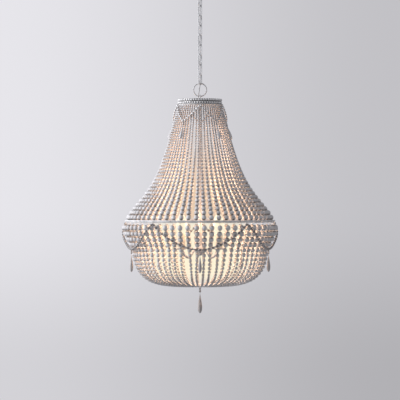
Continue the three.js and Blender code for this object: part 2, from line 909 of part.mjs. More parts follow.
// Two small beads over a slender teardrop, hanging down from the origin
function drop(bead, length, width) {
  const tear = length - 2 * bead;
  const profile = [
    [0, 0],
    [bead / 2, -bead / 2],
    [dropNeckRadius, -bead],
    [bead / 2, -bead * 1.5],
    [dropNeckRadius, -bead * 2],
  ];
  for (const [downShare, widthShare] of tearShares) {
    profile.push([(width / 2) * widthShare, -2 * bead - tear * downShare]);
  }
  return turned(profile, 6);
}

// The lean that lays a crown drop on the flaring strands, from its top at the garland
const crownDropTop = crownTieLevel - crownGarlandDrop - crownGarlandBead / 2 - gap;
const crownDropRadius = crownGarlandRadius(crownTieLevel - crownGarlandDrop);
function crownLean() {
  const leans = tearShares.map(([downShare, widthShare]) => {
    const down = 2 * crownDropBead + (crownDropLength - 2 * crownDropBead) * downShare;
    const share = (crownDropTop - down - waistTop) / upperShadeHeight;
    const clear = tentRadius(share) + tentBead(share) / 2 + (crownDropWidth / 2) * widthShare;
    return Math.atan2(clear + 2 * gap - crownDropRadius, down);
  });
  return Math.max(...leans);
}

const lean = crownLean();
for (let i = 0; i < swagCount; i++) {
  const crownSide = turnedGroup((i + 0.5) * swagAngle);
  const upper = drop(crownDropBead, crownDropLength, crownDropWidth);
  const crownDropMesh = piece(`crown_drop_${i + 1}`, upper, "bead", crownSide);
  crownDropMesh.position.set(0, -crownDropRadius, crownDropTop);
  crownDropMesh.rotation.x = -lean;

  const waistSide = turnedGroup(i * swagAngle);
  const lowest = waistTieLevel - waistGarlandDrop;
  const lower = drop(waistDropBead, waistDropLength, waistDropWidth);
  const waistDropMesh = piece(`waist_drop_${i + 1}`, lower, "darkBead", waistSide);
  waistDropMesh.position.set(
    0,
    -waistGarlandRadius(lowest),
    lowest - waistGarlandBead / 2 - gap,
  );
}

const finial = piece("finial", drop(finialBead, finialLength, finialWidth), "darkBead");
finial.position.z = bottomHubBottom - finialNeckLength - gap;

export default chandelier;
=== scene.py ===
"""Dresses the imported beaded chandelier: real beads on every strand, worn whitewash and warm light.

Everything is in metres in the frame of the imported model. The origin is on the ceiling and +Z is up.
Azimuths are measured from the front (-Y) towards the right (+X).
"""

import json
import math

import bpy
import numpy as np
from bpy.props import FloatProperty, FloatVectorProperty, PointerProperty
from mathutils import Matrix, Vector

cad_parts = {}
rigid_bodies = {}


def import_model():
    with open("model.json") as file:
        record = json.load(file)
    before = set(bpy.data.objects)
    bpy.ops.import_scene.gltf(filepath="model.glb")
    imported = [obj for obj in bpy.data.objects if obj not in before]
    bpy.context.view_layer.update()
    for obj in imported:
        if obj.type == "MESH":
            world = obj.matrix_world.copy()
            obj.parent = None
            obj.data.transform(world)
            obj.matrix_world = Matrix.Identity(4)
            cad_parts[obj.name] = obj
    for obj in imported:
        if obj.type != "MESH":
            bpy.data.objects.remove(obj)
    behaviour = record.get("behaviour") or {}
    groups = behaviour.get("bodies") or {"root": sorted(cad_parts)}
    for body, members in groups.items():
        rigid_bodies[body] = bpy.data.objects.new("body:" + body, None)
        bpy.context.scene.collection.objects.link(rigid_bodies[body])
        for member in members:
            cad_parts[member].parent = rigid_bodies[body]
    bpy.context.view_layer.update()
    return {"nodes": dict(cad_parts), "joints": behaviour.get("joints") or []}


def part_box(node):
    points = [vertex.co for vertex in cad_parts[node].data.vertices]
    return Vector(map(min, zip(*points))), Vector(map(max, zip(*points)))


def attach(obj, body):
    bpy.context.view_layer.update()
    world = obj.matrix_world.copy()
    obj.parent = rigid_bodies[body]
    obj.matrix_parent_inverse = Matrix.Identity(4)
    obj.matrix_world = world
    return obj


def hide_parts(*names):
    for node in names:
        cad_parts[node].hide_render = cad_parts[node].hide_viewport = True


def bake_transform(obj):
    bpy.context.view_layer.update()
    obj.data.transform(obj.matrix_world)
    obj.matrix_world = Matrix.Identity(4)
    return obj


bl_info = {
    "name": "Beaded chandelier",
    "version": (1, 0, 0),
    "blender": (4, 5, 0),
    "location": "3D View > Sidebar > Chandelier",
    "description": "Makes the beads, ironwork and lamps of a basket chandelier",
    "category": "Object",
}

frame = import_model()
JOINTS = {joint["name"]: joint for joint in frame["joints"]}
MM = 0.001
GAP = 0.3 * MM  # between pieces that touch
OVERRUN = 1 * MM  # how far joined shapes run into each other

# Ceiling fitting
CANOPY_RADIUS = 62 * MM
CANOPY_HEIGHT = 32 * MM
CANOPY_WALL = 1.6 * MM
NIPPLE_RADIUS = 5 * MM
BARREL_RADIUS = 13 * MM
BARREL_LENGTH = 19.5 * MM
BARREL_RISE = 8 * MM
COLLAR_WIDTH = 5 * MM
COLLAR_HEIGHT = 7 * MM
COLLAR_FLUTES = 45
COLLAR_EDGE = 1 * MM  # an edge is the size of a rounded corner, here and below
FLUTE_DEPTH = 0.35 * MM
THREAD_DEPTH = 1.4 * MM  # from the barrel to the collar's bore
BARREL_GROOVE = 1.2 * MM
BARREL_EDGE = 0.5 * MM
BUSH_WALL = 1.2 * MM
BUSH_EDGE = 0.3 * MM
LOOP_EYE = 7 * MM
LOOP_WIRE = 4.5 * MM
BARREL_CORD_OFFSET = 9.4 * MM
CORD_HOLE_DEPTH = 4.5 * MM

# Chain and hanging ring
LINK_COUNT = 9
LINK_PITCH = 31.6 * MM
LINK_WIDTH = 17 * MM
LINK_WIRE = 3.4 * MM
RING_RADIUS = 23 * MM
RING_WIRE = 3.9 * MM
CORD_DIAMETER = 3.2 * MM
CORD_OFFSET = 5.3 * MM
CORD_BEND = 7 * MM  # distance above and below a joint, for points that are not used

# Crown
CROWN_EYE = 6 * MM
CROWN_EYE_WIRE = 3.6 * MM
STEM_CAP_RADIUS = 8.4 * MM
STEM_CAP_HEIGHT = 7 * MM
STEM_CAP_EDGE = 0.8 * MM
STEM_CAP_SHARES = 0.55, 0.6  # radius of the flat top, and height of the upright side
CROWN_HEIGHT = 18.6 * MM
CROWN_WALL_RADIUS = 65.5 * MM
CROWN_WALL = 2.6 * MM
CROWN_FLANGE_RADIUS = 70.9 * MM
CROWN_FLANGE = 2 * MM
CROWN_BEAD_WIDTH = 6 * MM
CROWN_BEADS = 53  # in each of the two rows
CROWN_BEAD_SHARES = 0.88, 0.94  # width and height of a bead in the room it has
CROWN_EDGE = 0.5 * MM
CROWN_HUB_RADIUS = 15 * MM
CROWN_HUB_HEIGHT = 7 * MM
CROWN_HUB_EDGE = 1 * MM
SPOKES = 4  # in the crown and in the waist ring
CORD_HOLE_OFFSET = 10.6 * MM

# Strands
SWAGS = 5
STRANDS = 12  # in each swag
STRAND_TOP_RADIUS = 68.5 * MM
STRAND_WAIST_RADIUS = 232.5 * MM
SMALL_BEAD = 6.3 * MM
LARGE_BEAD = 17 * MM
MIDDLE_BEAD = 10.5 * MM  # where the tails start
TAIL_BEAD = 7.5 * MM
LACE_WIDTH = 2.4 * MM
THREAD_WIDTH = 1.1 * MM
UPPER_STRAIGHT_SHARE = 0.6
UPPER_CURL_EXPONENT = 5
GRADING_SHARE = 0.67

# Waist ring and basket
WAIST_OUTER = 242 * MM
WAIST_INNER = 227 * MM
WAIST_HEIGHT = 5 * MM
WAIST_EDGE = 0.9 * MM
WAIST_HUB = 12 * MM
WAIST_HUB_EDGE = 0.8 * MM
SPOKE_RADIUS = 2.5 * MM
BASKET_START = 239 * MM
BASKET_RADIUS = 217 * MM
SHOULDER_SWELL = 26.5 * MM
SHOULDER_FALL = 81 * MM
BASKET_SHOULDER = 22 * MM
BASKET_DEPTH = 214 * MM
BASKET_ROUNDNESS = 4
LARGE_BEAD_DEPTH = 12 * MM
MIDDLE_BEAD_DEPTH = 67 * MM
TAIL_BEAD_DEPTH = 128 * MM
BOTTOM_OUTER = 78 * MM
BOTTOM_INNER = 70 * MM
BOTTOM_HEIGHT = 4 * MM
BOTTOM_EDGE = 0.8 * MM
BOTTOM_HUB = 11 * MM
BOTTOM_HUB_HEIGHT = 7 * MM
BOTTOM_HUB_EDGE = 1.5 * MM
PIN_EDGE = 0.3 * MM

# Stem and lamps
STEM_RADIUS = 6.5 * MM
STEM_BORE = 4.4 * MM
STEM_EDGE = 0.5 * MM
LAMPS = 4
HUB_RADIUS = 19 * MM
HUB_HEIGHT = 24 * MM
HUB_NECK_SHARE = 0.7
HUB_BULGE_POWER = 0.6
NUT_RADIUS = 10 * MM
NUT_HEIGHT = 9 * MM
NUT_DOME_SHARE = 0.7
ARM_RADIUS = 3.6 * MM
ARM_REACH = 84 * MM
ARM_SAG = 26 * MM
SOCKET_RADIUS = 13 * MM
SOCKET_BORE = 9.2 * MM
SOCKET_HEIGHT = 46 * MM
SOCKET_FLOOR = 6 * MM
SOCKET_DROP = 88 * MM
SOCKET_EDGE = 0.6 * MM
PAN_RADIUS = 21 * MM
PAN_HEIGHT = 4 * MM
PAN_LIP = 1.4 * MM
PAN_EDGE = 0.5 * MM
PAN_SHARES = 0.5, 0.7  # radius of the foot and of the dish's floor
BULB_CAP_RADIUS = 8.6 * MM
BULB_CAP_HEIGHT = 24 * MM
BULB_CAP_TURNS = 9
BULB_THREAD_DEPTH = 0.35 * MM
BULB_CONTACT_RADIUS = 4.2 * MM
BULB_CONTACT_HEIGHT = 2 * MM
BULB_RADIUS = 17.5 * MM
BULB_HEIGHT = 72 * MM
# Radius and height of the glass
BULB_SHARES = [(0.44, 0.0), (0.8, 0.18), (1, 0.36), (0.86, 0.6), (0.45, 0.84), (0.07, 0.995)]

# Garlands, drops and finial
CROWN_GARLAND_BEAD = 5 * MM
CROWN_GARLAND_DROP = 52 * MM
CROWN_SWAG_CURVE = 1.2
CROWN_PAIR_SHARES = 0.72, 1.45, 0.85  # pale bead in a pair's pitch, then pale and dark width over the bead
WAIST_GARLAND_BEAD = 6.4 * MM
WAIST_GARLAND_DROP = 82 * MM
WAIST_TIE_DROP = 8 * MM
WAIST_SWAG_CURVE = 2
WAIST_PAIR_SHARES = 0.42, 1.1, 1.35
PAIR_PITCH_SHARE = 2.1  # a pair's pitch over the bead
GARLAND_EASE = 0.6 * MM
NECK_RADIUS = 1.6 * MM
CROWN_DROP_BEAD = 6 * MM
CROWN_DROP_LENGTH = 58 * MM
CROWN_DROP_WIDTH = 9.5 * MM
WAIST_DROP_BEAD = 6.4 * MM
WAIST_DROP_LENGTH = 70 * MM
WAIST_DROP_WIDTH = 11.4 * MM
FINIAL_BEAD = 8 * MM
FINIAL_LENGTH = 83 * MM
FINIAL_WIDTH = 14.2 * MM

# Sides of round shapes, and steps along curves
RIM_SIDES = 240
RING_SIDES = 120
BOWL_SIDES = 96
BODY_SIDES = 48
SMALL_SIDES = 40
SLIM_SIDES = 32
TEAR_SIDES = 20
BUSH_SIDES = 20
PIN_SIDES = 16
BAR_SIDES = 14
WIRE_SIDES = 12
LACE_SIDES = 8
THREAD_SIDES = 5
RING_STEPS = 72
EYE_STEPS = 36
ARC_STEPS = 20
BULGE_STEPS = 17
DOME_STEPS = 9
THREAD_STEPS = 40
BULB_STEPS = 6
LACE_STEPS = 40
STRAND_STEPS = 300
WIRE_STRIDE = 6  # of a strand's steps, how many its wire takes at once, and so below
UPRIGHT_STEPS = 60
UPRIGHT_STRIDE = 12
TAIL_STEPS = 200
TAIL_STRIDE = 8
GARLAND_STEPS = 1501
GARLAND_STRIDE = 5
BEND_STEPS = 15
CURVE_STEPS = 8
CORD_STEPS = 10
STRETCH_STEPS = 25
SPOKE_STEPS = 6
TEAR_STEPS = 30
DROP_WIRE_STEPS = 4

# Levels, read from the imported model
CROWN_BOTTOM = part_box("crown_frame")[0].z
CROWN_TOP = CROWN_BOTTOM + CROWN_HEIGHT
WAIST_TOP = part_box("waist_ring")[1].z - OVERRUN
WAIST_MIDDLE = WAIST_TOP - WAIST_HEIGHT / 2
WAIST_BOTTOM = WAIST_TOP - WAIST_HEIGHT
UPPER_HEIGHT = CROWN_BOTTOM - WAIST_TOP
STEM_BOTTOM, STEM_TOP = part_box("centre_stem")[0].z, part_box("centre_stem")[1].z
WAIST_WIRE = WAIST_BOTTOM - GAP - LACE_WIDTH / 2
BASKET_FALL = BASKET_DEPTH - BASKET_SHOULDER - TAIL_BEAD / 2


# Surfaces

SHARP_ANGLE = math.radians(40)
CORNER_SHARE = 0.45  # of the shorter side, the most that a rounded corner takes


def unit(vectors):
    """Vectors divided by their lengths."""
    return vectors / np.linalg.norm(vectors, axis=-1, keepdims=True)


class Skin:
    """Closed surfaces gathered into one mesh.

    Each surface is a grid of rings, an array of copies x rows x columns x 3, whose columns close on
    themselves. Its rows close on themselves too, or end in two poles, an array of copies x 2 x 3.
    """

    def __init__(self):
        self.count = 0
        self.points, self.tones, self.wear = [], [], []
        self.quads, self.triangles, self.quad_looks, self.triangle_looks = [], [], [], []

    def add(self, rings, poles=None, tones=0.5, wear=0.0, look=0):
        """Adds copies of a surface. wear, worn wash and painted shade kept on the points, is a number, an array
        of rows x 1, or one value for each column.
        """
        copies, rows, columns = rings.shape[:3]
        bands = rows if poles is None else rows - 1
        row, column = np.meshgrid(np.arange(bands), np.arange(columns), indexing="ij")
        next_row, next_column = (row + 1) % rows, (column + 1) % columns
        corners = [(row, column), (row, next_column), (next_row, next_column), (next_row, column)]
        quads = np.stack([r * columns + c for r, c in corners], axis=-1).reshape(-1, 4)
        points = rings.reshape(copies, -1, 3)
        triangles = np.zeros((0, 3), int)
        point_wear_and_shade = np.broadcast_to(wear, (rows, columns)).ravel()
        if poles is not None:
            ring = np.arange(columns)
            following = (ring + 1) % columns
            last = (rows - 1) * columns
            pole = np.full(columns, rows * columns)
            first_fan = np.stack([following, ring, pole], axis=-1)
            last_fan = np.stack([last + ring, last + following, pole + 1], axis=-1)
            triangles = np.concatenate([first_fan, last_fan])
            points = np.concatenate([points, poles], axis=1)
            point_wear_and_shade = np.append(point_wear_and_shade, point_wear_and_shade[[0, -1]])
        halves = np.concatenate([quads[:, [0, 1, 2]], quads[:, [0, 2, 3]], triangles])
        a, b, c = (points[0, halves[:, i]] - points[0].mean(axis=0) for i in range(3))
        if np.einsum("ij,ij->", a, np.cross(b, c)) < 0:
            quads, triangles = quads[:, ::-1], triangles[:, ::-1]
        shift = self.count + np.arange(copies)[:, None, None] * points.shape[1]
        self.quads.append((quads[None] + shift).reshape(-1, 4))
        self.triangles.append((triangles[None] + shift).reshape(-1, 3))
        self.quad_looks.append(np.full(copies * len(quads), look))
        self.triangle_looks.append(np.full(copies * len(triangles), look))
        self.points.append(points.reshape(-1, 3))
        self.tones.append(np.repeat(np.broadcast_to(np.atleast_1d(tones), (copies,)), points.shape[1]))
        self.wear.append(np.tile(point_wear_and_shade, copies))
        self.count += copies * points.shape[1]
        return self

    def object(self, name, *looks):
        """The gathered surfaces as one smooth object, sharp where faces meet at a steep angle."""
        quads, triangles = np.concatenate(self.quads), np.concatenate(self.triangles)
        loops = np.concatenate([quads.ravel(), triangles.ravel()])
        starts = np.concatenate([np.arange(len(quads)) * 4, quads.size + np.arange(len(triangles)) * 3])
        mesh = bpy.data.meshes.new(name)
        mesh.vertices.add(self.count)
        mesh.loops.add(len(loops))
        mesh.polygons.add(len(starts))
        mesh.vertices.foreach_set("co", np.concatenate(self.points).ravel())
        mesh.loops.foreach_set("vertex_index", loops)
        mesh.polygons.foreach_set("loop_start", starts)
        mesh.polygons.foreach_set("material_index", np.concatenate(self.quad_looks + self.triangle_looks))
        mesh.polygons.foreach_set("use_smooth", np.ones(len(starts), bool))
        mesh.update(calc_edges=True)
        mesh.set_sharp_from_angle(angle=SHARP_ANGLE)
        for label, values in (("tone", self.tones), ("wear", self.wear)):
            mesh.attributes.new(label, "FLOAT", "POINT").data.foreach_set("value", np.concatenate(values))
        for material in looks:
            mesh.materials.append(material)
        made = bpy.data.objects.new(name, mesh)
        bpy.context.scene.collection.objects.link(made)
        return made


def mount(made, body, node):
    """Rides a finished piece on a body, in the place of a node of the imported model."""
    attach(made, body)
    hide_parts(node)


def eased(profile, radius, closed=True):
    """A profile with each corner replaced by three points of the parabola that touches both its sides."""
    corners = np.array(profile, float)
    before, after = np.roll(corners, 1, axis=0) - corners, np.roll(corners, -1, axis=0) - corners
    before_length, after_length = np.linalg.norm(before, axis=1), np.linalg.norm(after, axis=1)
    cut = np.minimum(radius, CORNER_SHARE * np.minimum(before_length, after_length))[:, None]
    first = corners + before / before_length[:, None] * cut
    last = corners + after / after_length[:, None] * cut
    soft = np.stack([first, (first + 2 * corners + last) / 4, last], axis=1)
    if closed:
        return soft.reshape(-1, 2)
    return np.concatenate([corners[:1], soft[1:-1].reshape(-1, 2), corners[-1:]])


def turned(skin, profile, sides, centre=(0, 0), flutes=0, flute_depth=0.0, **surface):
    """A profile of (radius, level) turned about an upright axis: (r cos u, r sin u, level).

    A profile that starts and ends on the axis closes at its poles, and any other closes on itself.
    Flutes take depth (1 - cos nu) / 2 off the outer half of it.
    """
    radius, level = np.array(profile, float).T
    turn = np.arange(sides) * 2 * np.pi / sides
    ring = np.stack([np.cos(turn), np.sin(turn)], axis=-1)
    fluted = np.where(radius > radius.mean(), flute_depth / 2, 0)[:, None] * (1 - np.cos(flutes * turn))
    flat = (radius[:, None] - fluted)[:, :, None] * ring[None] + np.array(centre)
    points = np.concatenate([flat, np.broadcast_to(level[:, None, None], flat.shape[:2] + (1,))], axis=-1)
    if radius[0] == radius[-1] == 0:
        return skin.add(points[None, 1:-1], points[None, [0, -1], 0], **surface)
    return skin.add(np.swapaxes(points, 0, 1)[None], **surface)


def swept(skin, path, radius, sides, reference=(0, 0, 1), closed=False, **surface):
    """A round section carried along a path: p(t) + radius (e1 cos u + e2 sin u).

    e1 is the reference made square to the path, and e2 is square to both.
    """
    path = np.array(path, float)
    if closed:
        tangent = unit(np.roll(path, -1, axis=0) - np.roll(path, 1, axis=0))
    else:
        tangent = unit(np.gradient(path, axis=0))
    reference = np.broadcast_to(np.array(reference, float), path.shape)
    first = unit(reference - np.einsum("ij,ij->i", reference, tangent)[:, None] * tangent)
    second = np.cross(tangent, first)
    turn = (np.arange(sides) * 2 * np.pi / sides)[None, :, None]
    width = np.broadcast_to(radius, (len(path),))[:, None, None]
    rings = path[:, None] + width * (first[:, None] * np.cos(turn) + second[:, None] * np.sin(turn))
    poles = None if closed else path[None, [0, -1]]
    return skin.add(rings[None], poles, **surface)


def circle(radius, steps, centre, across=(1, 0, 0)):
    """Points of an upright circle: centre + radius (across cos u + up sin u)."""
    turn = (np.arange(steps) * 2 * np.pi / steps)[:, None]
    return np.array(centre) + radius * (np.array(across) * np.cos(turn) + np.array([0, 0, 1]) * np.sin(turn))


def at_azimuth(azimuth, radius, level):
    """Points at an azimuth, a radius and a level: (r sin a, -r cos a, z)."""
    azimuth, radius, level = np.broadcast_arrays(azimuth, radius, level)
    return np.stack([radius * np.sin(azimuth), -radius * np.cos(azimuth), level], axis=-1)


# Beads

SEED = 23
SMALL_BEAD_SIDES = 8
BEAD_SIDES = 10
# Radius and height of a bead's rings from hole to hole, and the height of the dimple in each hole
BEAD_SHARES = np.array([(0.24, 0.95), (0.74, 0.68), (1, 0), (0.74, -0.68), (0.24, -0.95)])
DIMPLE_SHARE = 0.8
# Per ring from hole to hole: worn wash and painted shade, both strongest at the holes where beads meet
BEAD_WEAR_AND_SHADE = np.array([[1], [0.35], [0], [0.35], [1]])
BEAD_TILT = 0.035  # spread of the beads' axes about their thread, in radians
random = np.random.default_rng(SEED)


def beads(skin, centres, axes, outward, width, length, sides=SMALL_BEAD_SIDES, depth=None, **surface):
    """Drilled beads threaded on axes: centre + (w/2) r(v) (e1 cos u + e2 sin u) + (l/2) h(v) axis.

    r(v) and h(v) are the ring shares, depth takes the place of w along e1, and each bead is turned at random.
    """
    count = len(centres)
    width, length = np.broadcast_to(width, (count,)), np.broadcast_to(length, (count,))
    depth = width if depth is None else np.broadcast_to(depth, (count,))
    axes = unit(axes + random.normal(0, BEAD_TILT, axes.shape))
    first = unit(outward - np.einsum("ij,ij->i", outward, axes)[:, None] * axes)
    second = np.cross(axes, first)
    turn = random.uniform(0, 2 * np.pi, (count, 1)) + np.arange(sides) * 2 * np.pi / sides
    across = (np.cos(turn) * depth[:, None])[..., None] * first[:, None]
    across = across + (np.sin(turn) * width[:, None])[..., None] * second[:, None]
    radius, height = BEAD_SHARES.T
    rise = (height[None] * length[:, None] / 2)[..., None] * axes[:, None]
    rings = centres[:, None, None] + rise[:, :, None] + across[:, None] * radius[None, :, None, None] / 2
    ends = DIMPLE_SHARE * (length / 2)[:, None] * axes
    poles = np.stack([centres + ends, centres - ends], axis=1)
    return skin.add(rings, poles, tones=random.uniform(0, 1, count), wear=BEAD_WEAR_AND_SHADE, **surface)


def between(wanted, known, rows):
    """Rows of values at the wanted places, each column taken between the known places."""
    return np.stack([np.interp(wanted, known, column) for column in rows.T], axis=-1)


def spaced(path, pitch):
    """Centres, directions and rooms of the whole number of beads that best fills a path at a wanted pitch.

    The running sum of length over pitch counts the beads, and the centres lie at its halves.
    """
    path = np.array(path, float)
    pitch = np.broadcast_to(pitch, (len(path),))
    steps = np.linalg.norm(np.diff(path, axis=0), axis=1) * 2 / (pitch[1:] + pitch[:-1])
    counted = np.append(0, np.cumsum(steps))
    count = max(1, round(counted[-1]))
    wanted = (np.arange(count) + 0.5) * counted[-1] / count
    directions = between(wanted, counted, unit(np.gradient(path, axis=0)))
    room = np.interp(wanted, counted, pitch) * counted[-1] / count
    return between(wanted, counted, path), unit(directions), room


# Shader maths

CRACK_SHARE = 0.09  # of a cell, the width of the cracks at its border


class Value:
    """A socket that arithmetic can be done on: each operation adds a Math node."""

    def __init__(self, shader, socket):
        self.shader, self.socket = shader, socket

    def maths(self, operation, first, second):
        """A Math node on two values."""
        return self.shader.node("ShaderNodeMath", {0: first, 1: second}, operation=operation)

    def __add__(self, other):
        return self.maths("ADD", self, other)

    def __sub__(self, other):
        return self.maths("SUBTRACT", self, other)

    def __rsub__(self, other):
        return self.maths("SUBTRACT", other, self)

    def __mul__(self, other):
        return self.maths("MULTIPLY", self, other)

    def __pow__(self, other):
        return self.maths("POWER", self, other)

    def above(self, low, high):
        """0 below the low value, 1 above the high one, and smooth between them."""
        inputs = {"Value": self, "From Min": low, "From Max": high}
        return self.shader.node("ShaderNodeMapRange", inputs, interpolation_type="SMOOTHSTEP")

    __radd__ = __add__
    __rmul__ = __mul__


class Shader:
    """The node tree of a material or a world, emptied first and then filled through node()."""

    def __init__(self, owner):
        owner.use_nodes = True
        self.tree = owner.node_tree
        self.tree.nodes.clear()

    def node(self, kind, inputs=None, output=0, **settings):
        """Adds a node, sets its settings, then its sockets' values or links, and gives one output back."""
        made = self.tree.nodes.new(kind)
        for name, value in settings.items():
            setattr(made, name, value)
        for key, value in (inputs or {}).items():
            if isinstance(value, Value):
                self.tree.links.new(value.socket, made.inputs[key])
            else:
                made.inputs[key].default_value = value
        return Value(self, made.outputs[output])

    def mix(self, share, first, second):
        """The first colour where the share is 0 and the second where it is 1."""
        return self.node("ShaderNodeMix", {0: share, 6: first, 7: second}, output=2, data_type="RGBA")

    def place(self):
        """The point on the piece, in metres."""
        return self.node("ShaderNodeTexCoord", output="Object")

    def attribute(self, name):
        """A number kept on the mesh's points."""
        return self.node("ShaderNodeAttribute", output="Fac", attribute_name=name)

    def noise(self, scale, detail=3, roughness=0.55, vector=None):
        """Cloudy noise around a half, with so many lumps in a metre."""
        inputs = {"Vector": vector or self.place(), "Scale": scale, "Detail": detail, "Roughness": roughness}
        return self.node("ShaderNodeTexNoise", inputs)

    def cracks(self, scale):
        """1 on the borders of cells, with so many cells in a metre, and 0 inside them."""
        inputs = {"Vector": self.place(), "Scale": scale}
        from_border = self.node("ShaderNodeTexVoronoi", inputs, feature="DISTANCE_TO_EDGE")
        return 1 - from_border.above(0, CRACK_SHARE)

    def stretched(self, scale):
        """The point on the piece, scaled by a different number along each axis."""
        return self.node("ShaderNodeMapping", {"Vector": self.place(), "Scale": scale})

    def bumped(self, height, depth, strength=0.6):
        """The surface turned by a height between 0 and 1 that stands for so many metres."""
        return self.node("ShaderNodeBump", {"Height": height, "Distance": depth, "Strength": strength})

    def surface(self, **inputs):
        """Ends the tree in one Principled shader, whose inputs are named in lower case."""
        named = {name.replace("_", " ").title(): value for name, value in inputs.items()}
        self.end(self.node("ShaderNodeBsdfPrincipled", named))

    def end(self, surface, kind="ShaderNodeOutputMaterial"):
        """Links the finished surface to the tree's output."""
        output = self.tree.nodes.new(kind)
        self.tree.links.new(surface.socket, output.inputs["Surface"])


def opaque(colour, factor=1.0):
    """A colour property as a node's colour, made darker or paler by a factor."""
    return tuple(channel * factor for channel in colour) + (1.0,)


# Materials

# How many lumps, cells or marks of a pattern fill a metre
WOOD_PATCHES, WOOD_GRAIN, WOOD_CRACKS, CRACKED_PLACES = 160, 90, 260, 70
IRON_PATCHES, IRON_SPOTS, IRON_STREAKS = 110, 520, 60
STEEL_MARKS, BRASS_SMUDGES, SLEEVE_DRAG, GLASS_CLOUDS = 900, 180, 140, 60
BRAID_STITCHES, CORD_SOIL = 1500, 120
# How closely a pattern lies along x, y and z: less than 1 draws it out, and more packs it
GRAIN_STRETCH = 1, 1, 6
STREAK_STRETCH = 1, 1, 0.25
MARK_STRETCH = 0.03, 1, 1
DRAG_STRETCH = 1, 1, 0.08
STITCH_STRETCH = 1, 1, 0.6
# How softly the wash ends
WOOD_FADE, IRON_FADE = 0.22, 0.1
CRACKLE_DEPTH = 0.25 * MM
WASH_DEPTH = 0.15 * MM
ROLLING_DEPTH = 0.03 * MM
DRAG_DEPTH = 0.05 * MM
BRAID_DEPTH = 0.12 * MM


def washed_wood(shader, wash, wood, cover):
    """Whitewashed wood: the wash thins at the beads' holes and along cracks, and the grain shows through.
    Towards the holes the colour darkens further as painted shade, where neighbouring beads meet.
    """
    tone, wear = shader.attribute("tone"), shader.attribute("wear")
    patches = shader.noise(WOOD_PATCHES, detail=4)
    grain = shader.noise(WOOD_GRAIN, detail=3, vector=shader.stretched(GRAIN_STRETCH))
    cracks = shader.cracks(WOOD_CRACKS) * shader.noise(CRACKED_PLACES).above(0.42, 0.6)
    bare = (patches * 0.6 + grain * 0.25 + tone * 0.3 + wear * 0.22).above(cover, cover + WOOD_FADE)
    bare = shader.node("ShaderNodeMath", {0: bare, 1: cracks * 0.8}, operation="MAXIMUM")
    painted = shader.mix(tone * 0.55 + patches * 0.45, opaque(wash), opaque(wash, 0.78))
    coat = shader.mix(bare, painted, opaque(wood))
    # Painted shade: darker towards the holes, where neighbouring beads meet
    colour = shader.mix(wear.above(0.15, 0.85) * 0.85, coat, opaque(wood, 0.4))
    height = 1 - bare * 0.7 - grain * 0.3
    shader.surface(
        base_color=colour,
        roughness=0.62 + bare * 0.2,
        normal=shader.bumped(height, CRACKLE_DEPTH),
    )


def washed_iron(shader, wash, iron, cover):
    """Cast and drawn iron under a thin wash, rubbed through to the dark metal in streaks and spots. Where the
    mesh's attribute sets it, as on the crown's wall behind its beads, the bare iron stands for painted shade.
    """
    patches = shader.noise(IRON_PATCHES, detail=5, roughness=0.65)
    spots = shader.noise(IRON_SPOTS, detail=2)
    streaks = shader.noise(IRON_STREAKS, detail=3, vector=shader.stretched(STREAK_STRETCH))
    # The attribute from the mesh adds painted shade here, on the crown's wall behind its beads, besides wear
    worn = patches * 0.55 + spots * 0.3 + streaks * 0.2 + shader.attribute("wear") * 0.3
    rubbed = worn.above(cover, cover + IRON_FADE)
    painted = shader.mix(streaks.above(0.3, 0.7), opaque(wash), opaque(wash, 0.72))
    shader.surface(
        base_color=shader.mix(rubbed, painted, opaque(iron)),
        roughness=0.66 - rubbed * 0.24,
        metallic=rubbed * 0.7,
        normal=shader.bumped(1 - rubbed * 0.6 + spots * 0.3, WASH_DEPTH, 0.5),
    )


def plated_steel(shader, steel):
    """Zinc-plated strip, with fine rolling marks along its length."""
    marks = shader.noise(STEEL_MARKS, detail=2, vector=shader.stretched(MARK_STRETCH))
    shader.surface(
        base_color=shader.mix(marks, opaque(steel), opaque(steel, 0.75)),
        roughness=0.3 + marks * 0.2,
        metallic=1.0,
        normal=shader.bumped(marks, ROLLING_DEPTH, 0.4),
    )


def brass_cap(shader, brass):
    """The bulbs' screw caps, dulled by fingers."""
    smudges = shader.noise(BRASS_SMUDGES, detail=3)
    shader.surface(
        base_color=shader.mix(smudges, opaque(brass), opaque(brass, 0.6)),
        roughness=0.25 + smudges * 0.25,
        metallic=1.0,
    )


def candle_sleeve(shader, ivory):
    """Ivory sleeve with a faint drag of the mould down its side."""
    drag = shader.noise(SLEEVE_DRAG, detail=2, vector=shader.stretched(DRAG_STRETCH))
    shader.surface(
        base_color=shader.mix(drag, opaque(ivory), opaque(ivory, 0.86)),
        roughness=0.5 + drag * 0.1,
        normal=shader.bumped(drag, DRAG_DEPTH, 0.3),
    )


def lit_glass(shader, glow, strength):
    """Frosted bulb glass that glows, a little unevenly."""
    cloud = shader.noise(GLASS_CLOUDS, detail=2)
    shader.surface(
        base_color=shader.mix(cloud, opaque(glow, 0.1), opaque(glow, 0.08)),
        roughness=0.22 + cloud * 0.1,
        emission_color=shader.mix(cloud, opaque(glow), opaque(glow, 0.85)),
        emission_strength=strength,
    )


def woven_cord(shader, sheath):
    """Cord under a close braid, a little soiled."""
    weave = shader.noise(BRAID_STITCHES, detail=1, vector=shader.stretched(STITCH_STRETCH))
    soil = shader.noise(CORD_SOIL, detail=3)
    shader.surface(
        base_color=shader.mix(weave * 0.6 + soil * 0.4, opaque(sheath, 1.25), opaque(sheath, 0.6)),
        roughness=0.75 + weave * 0.1,
        normal=shader.bumped(weave, BRAID_DEPTH),
    )


# Settings


def colour_property(name, description, default):
    """A colour that the user can change."""
    return FloatVectorProperty(
        name=name, description=description, subtype="COLOR", size=3, min=0, max=1, default=default
    )


def share_property(name, description, default):
    """A share between 0 and 1 that the user can change."""
    return FloatProperty(name=name, description=description, subtype="FACTOR", default=default, min=0, max=1)


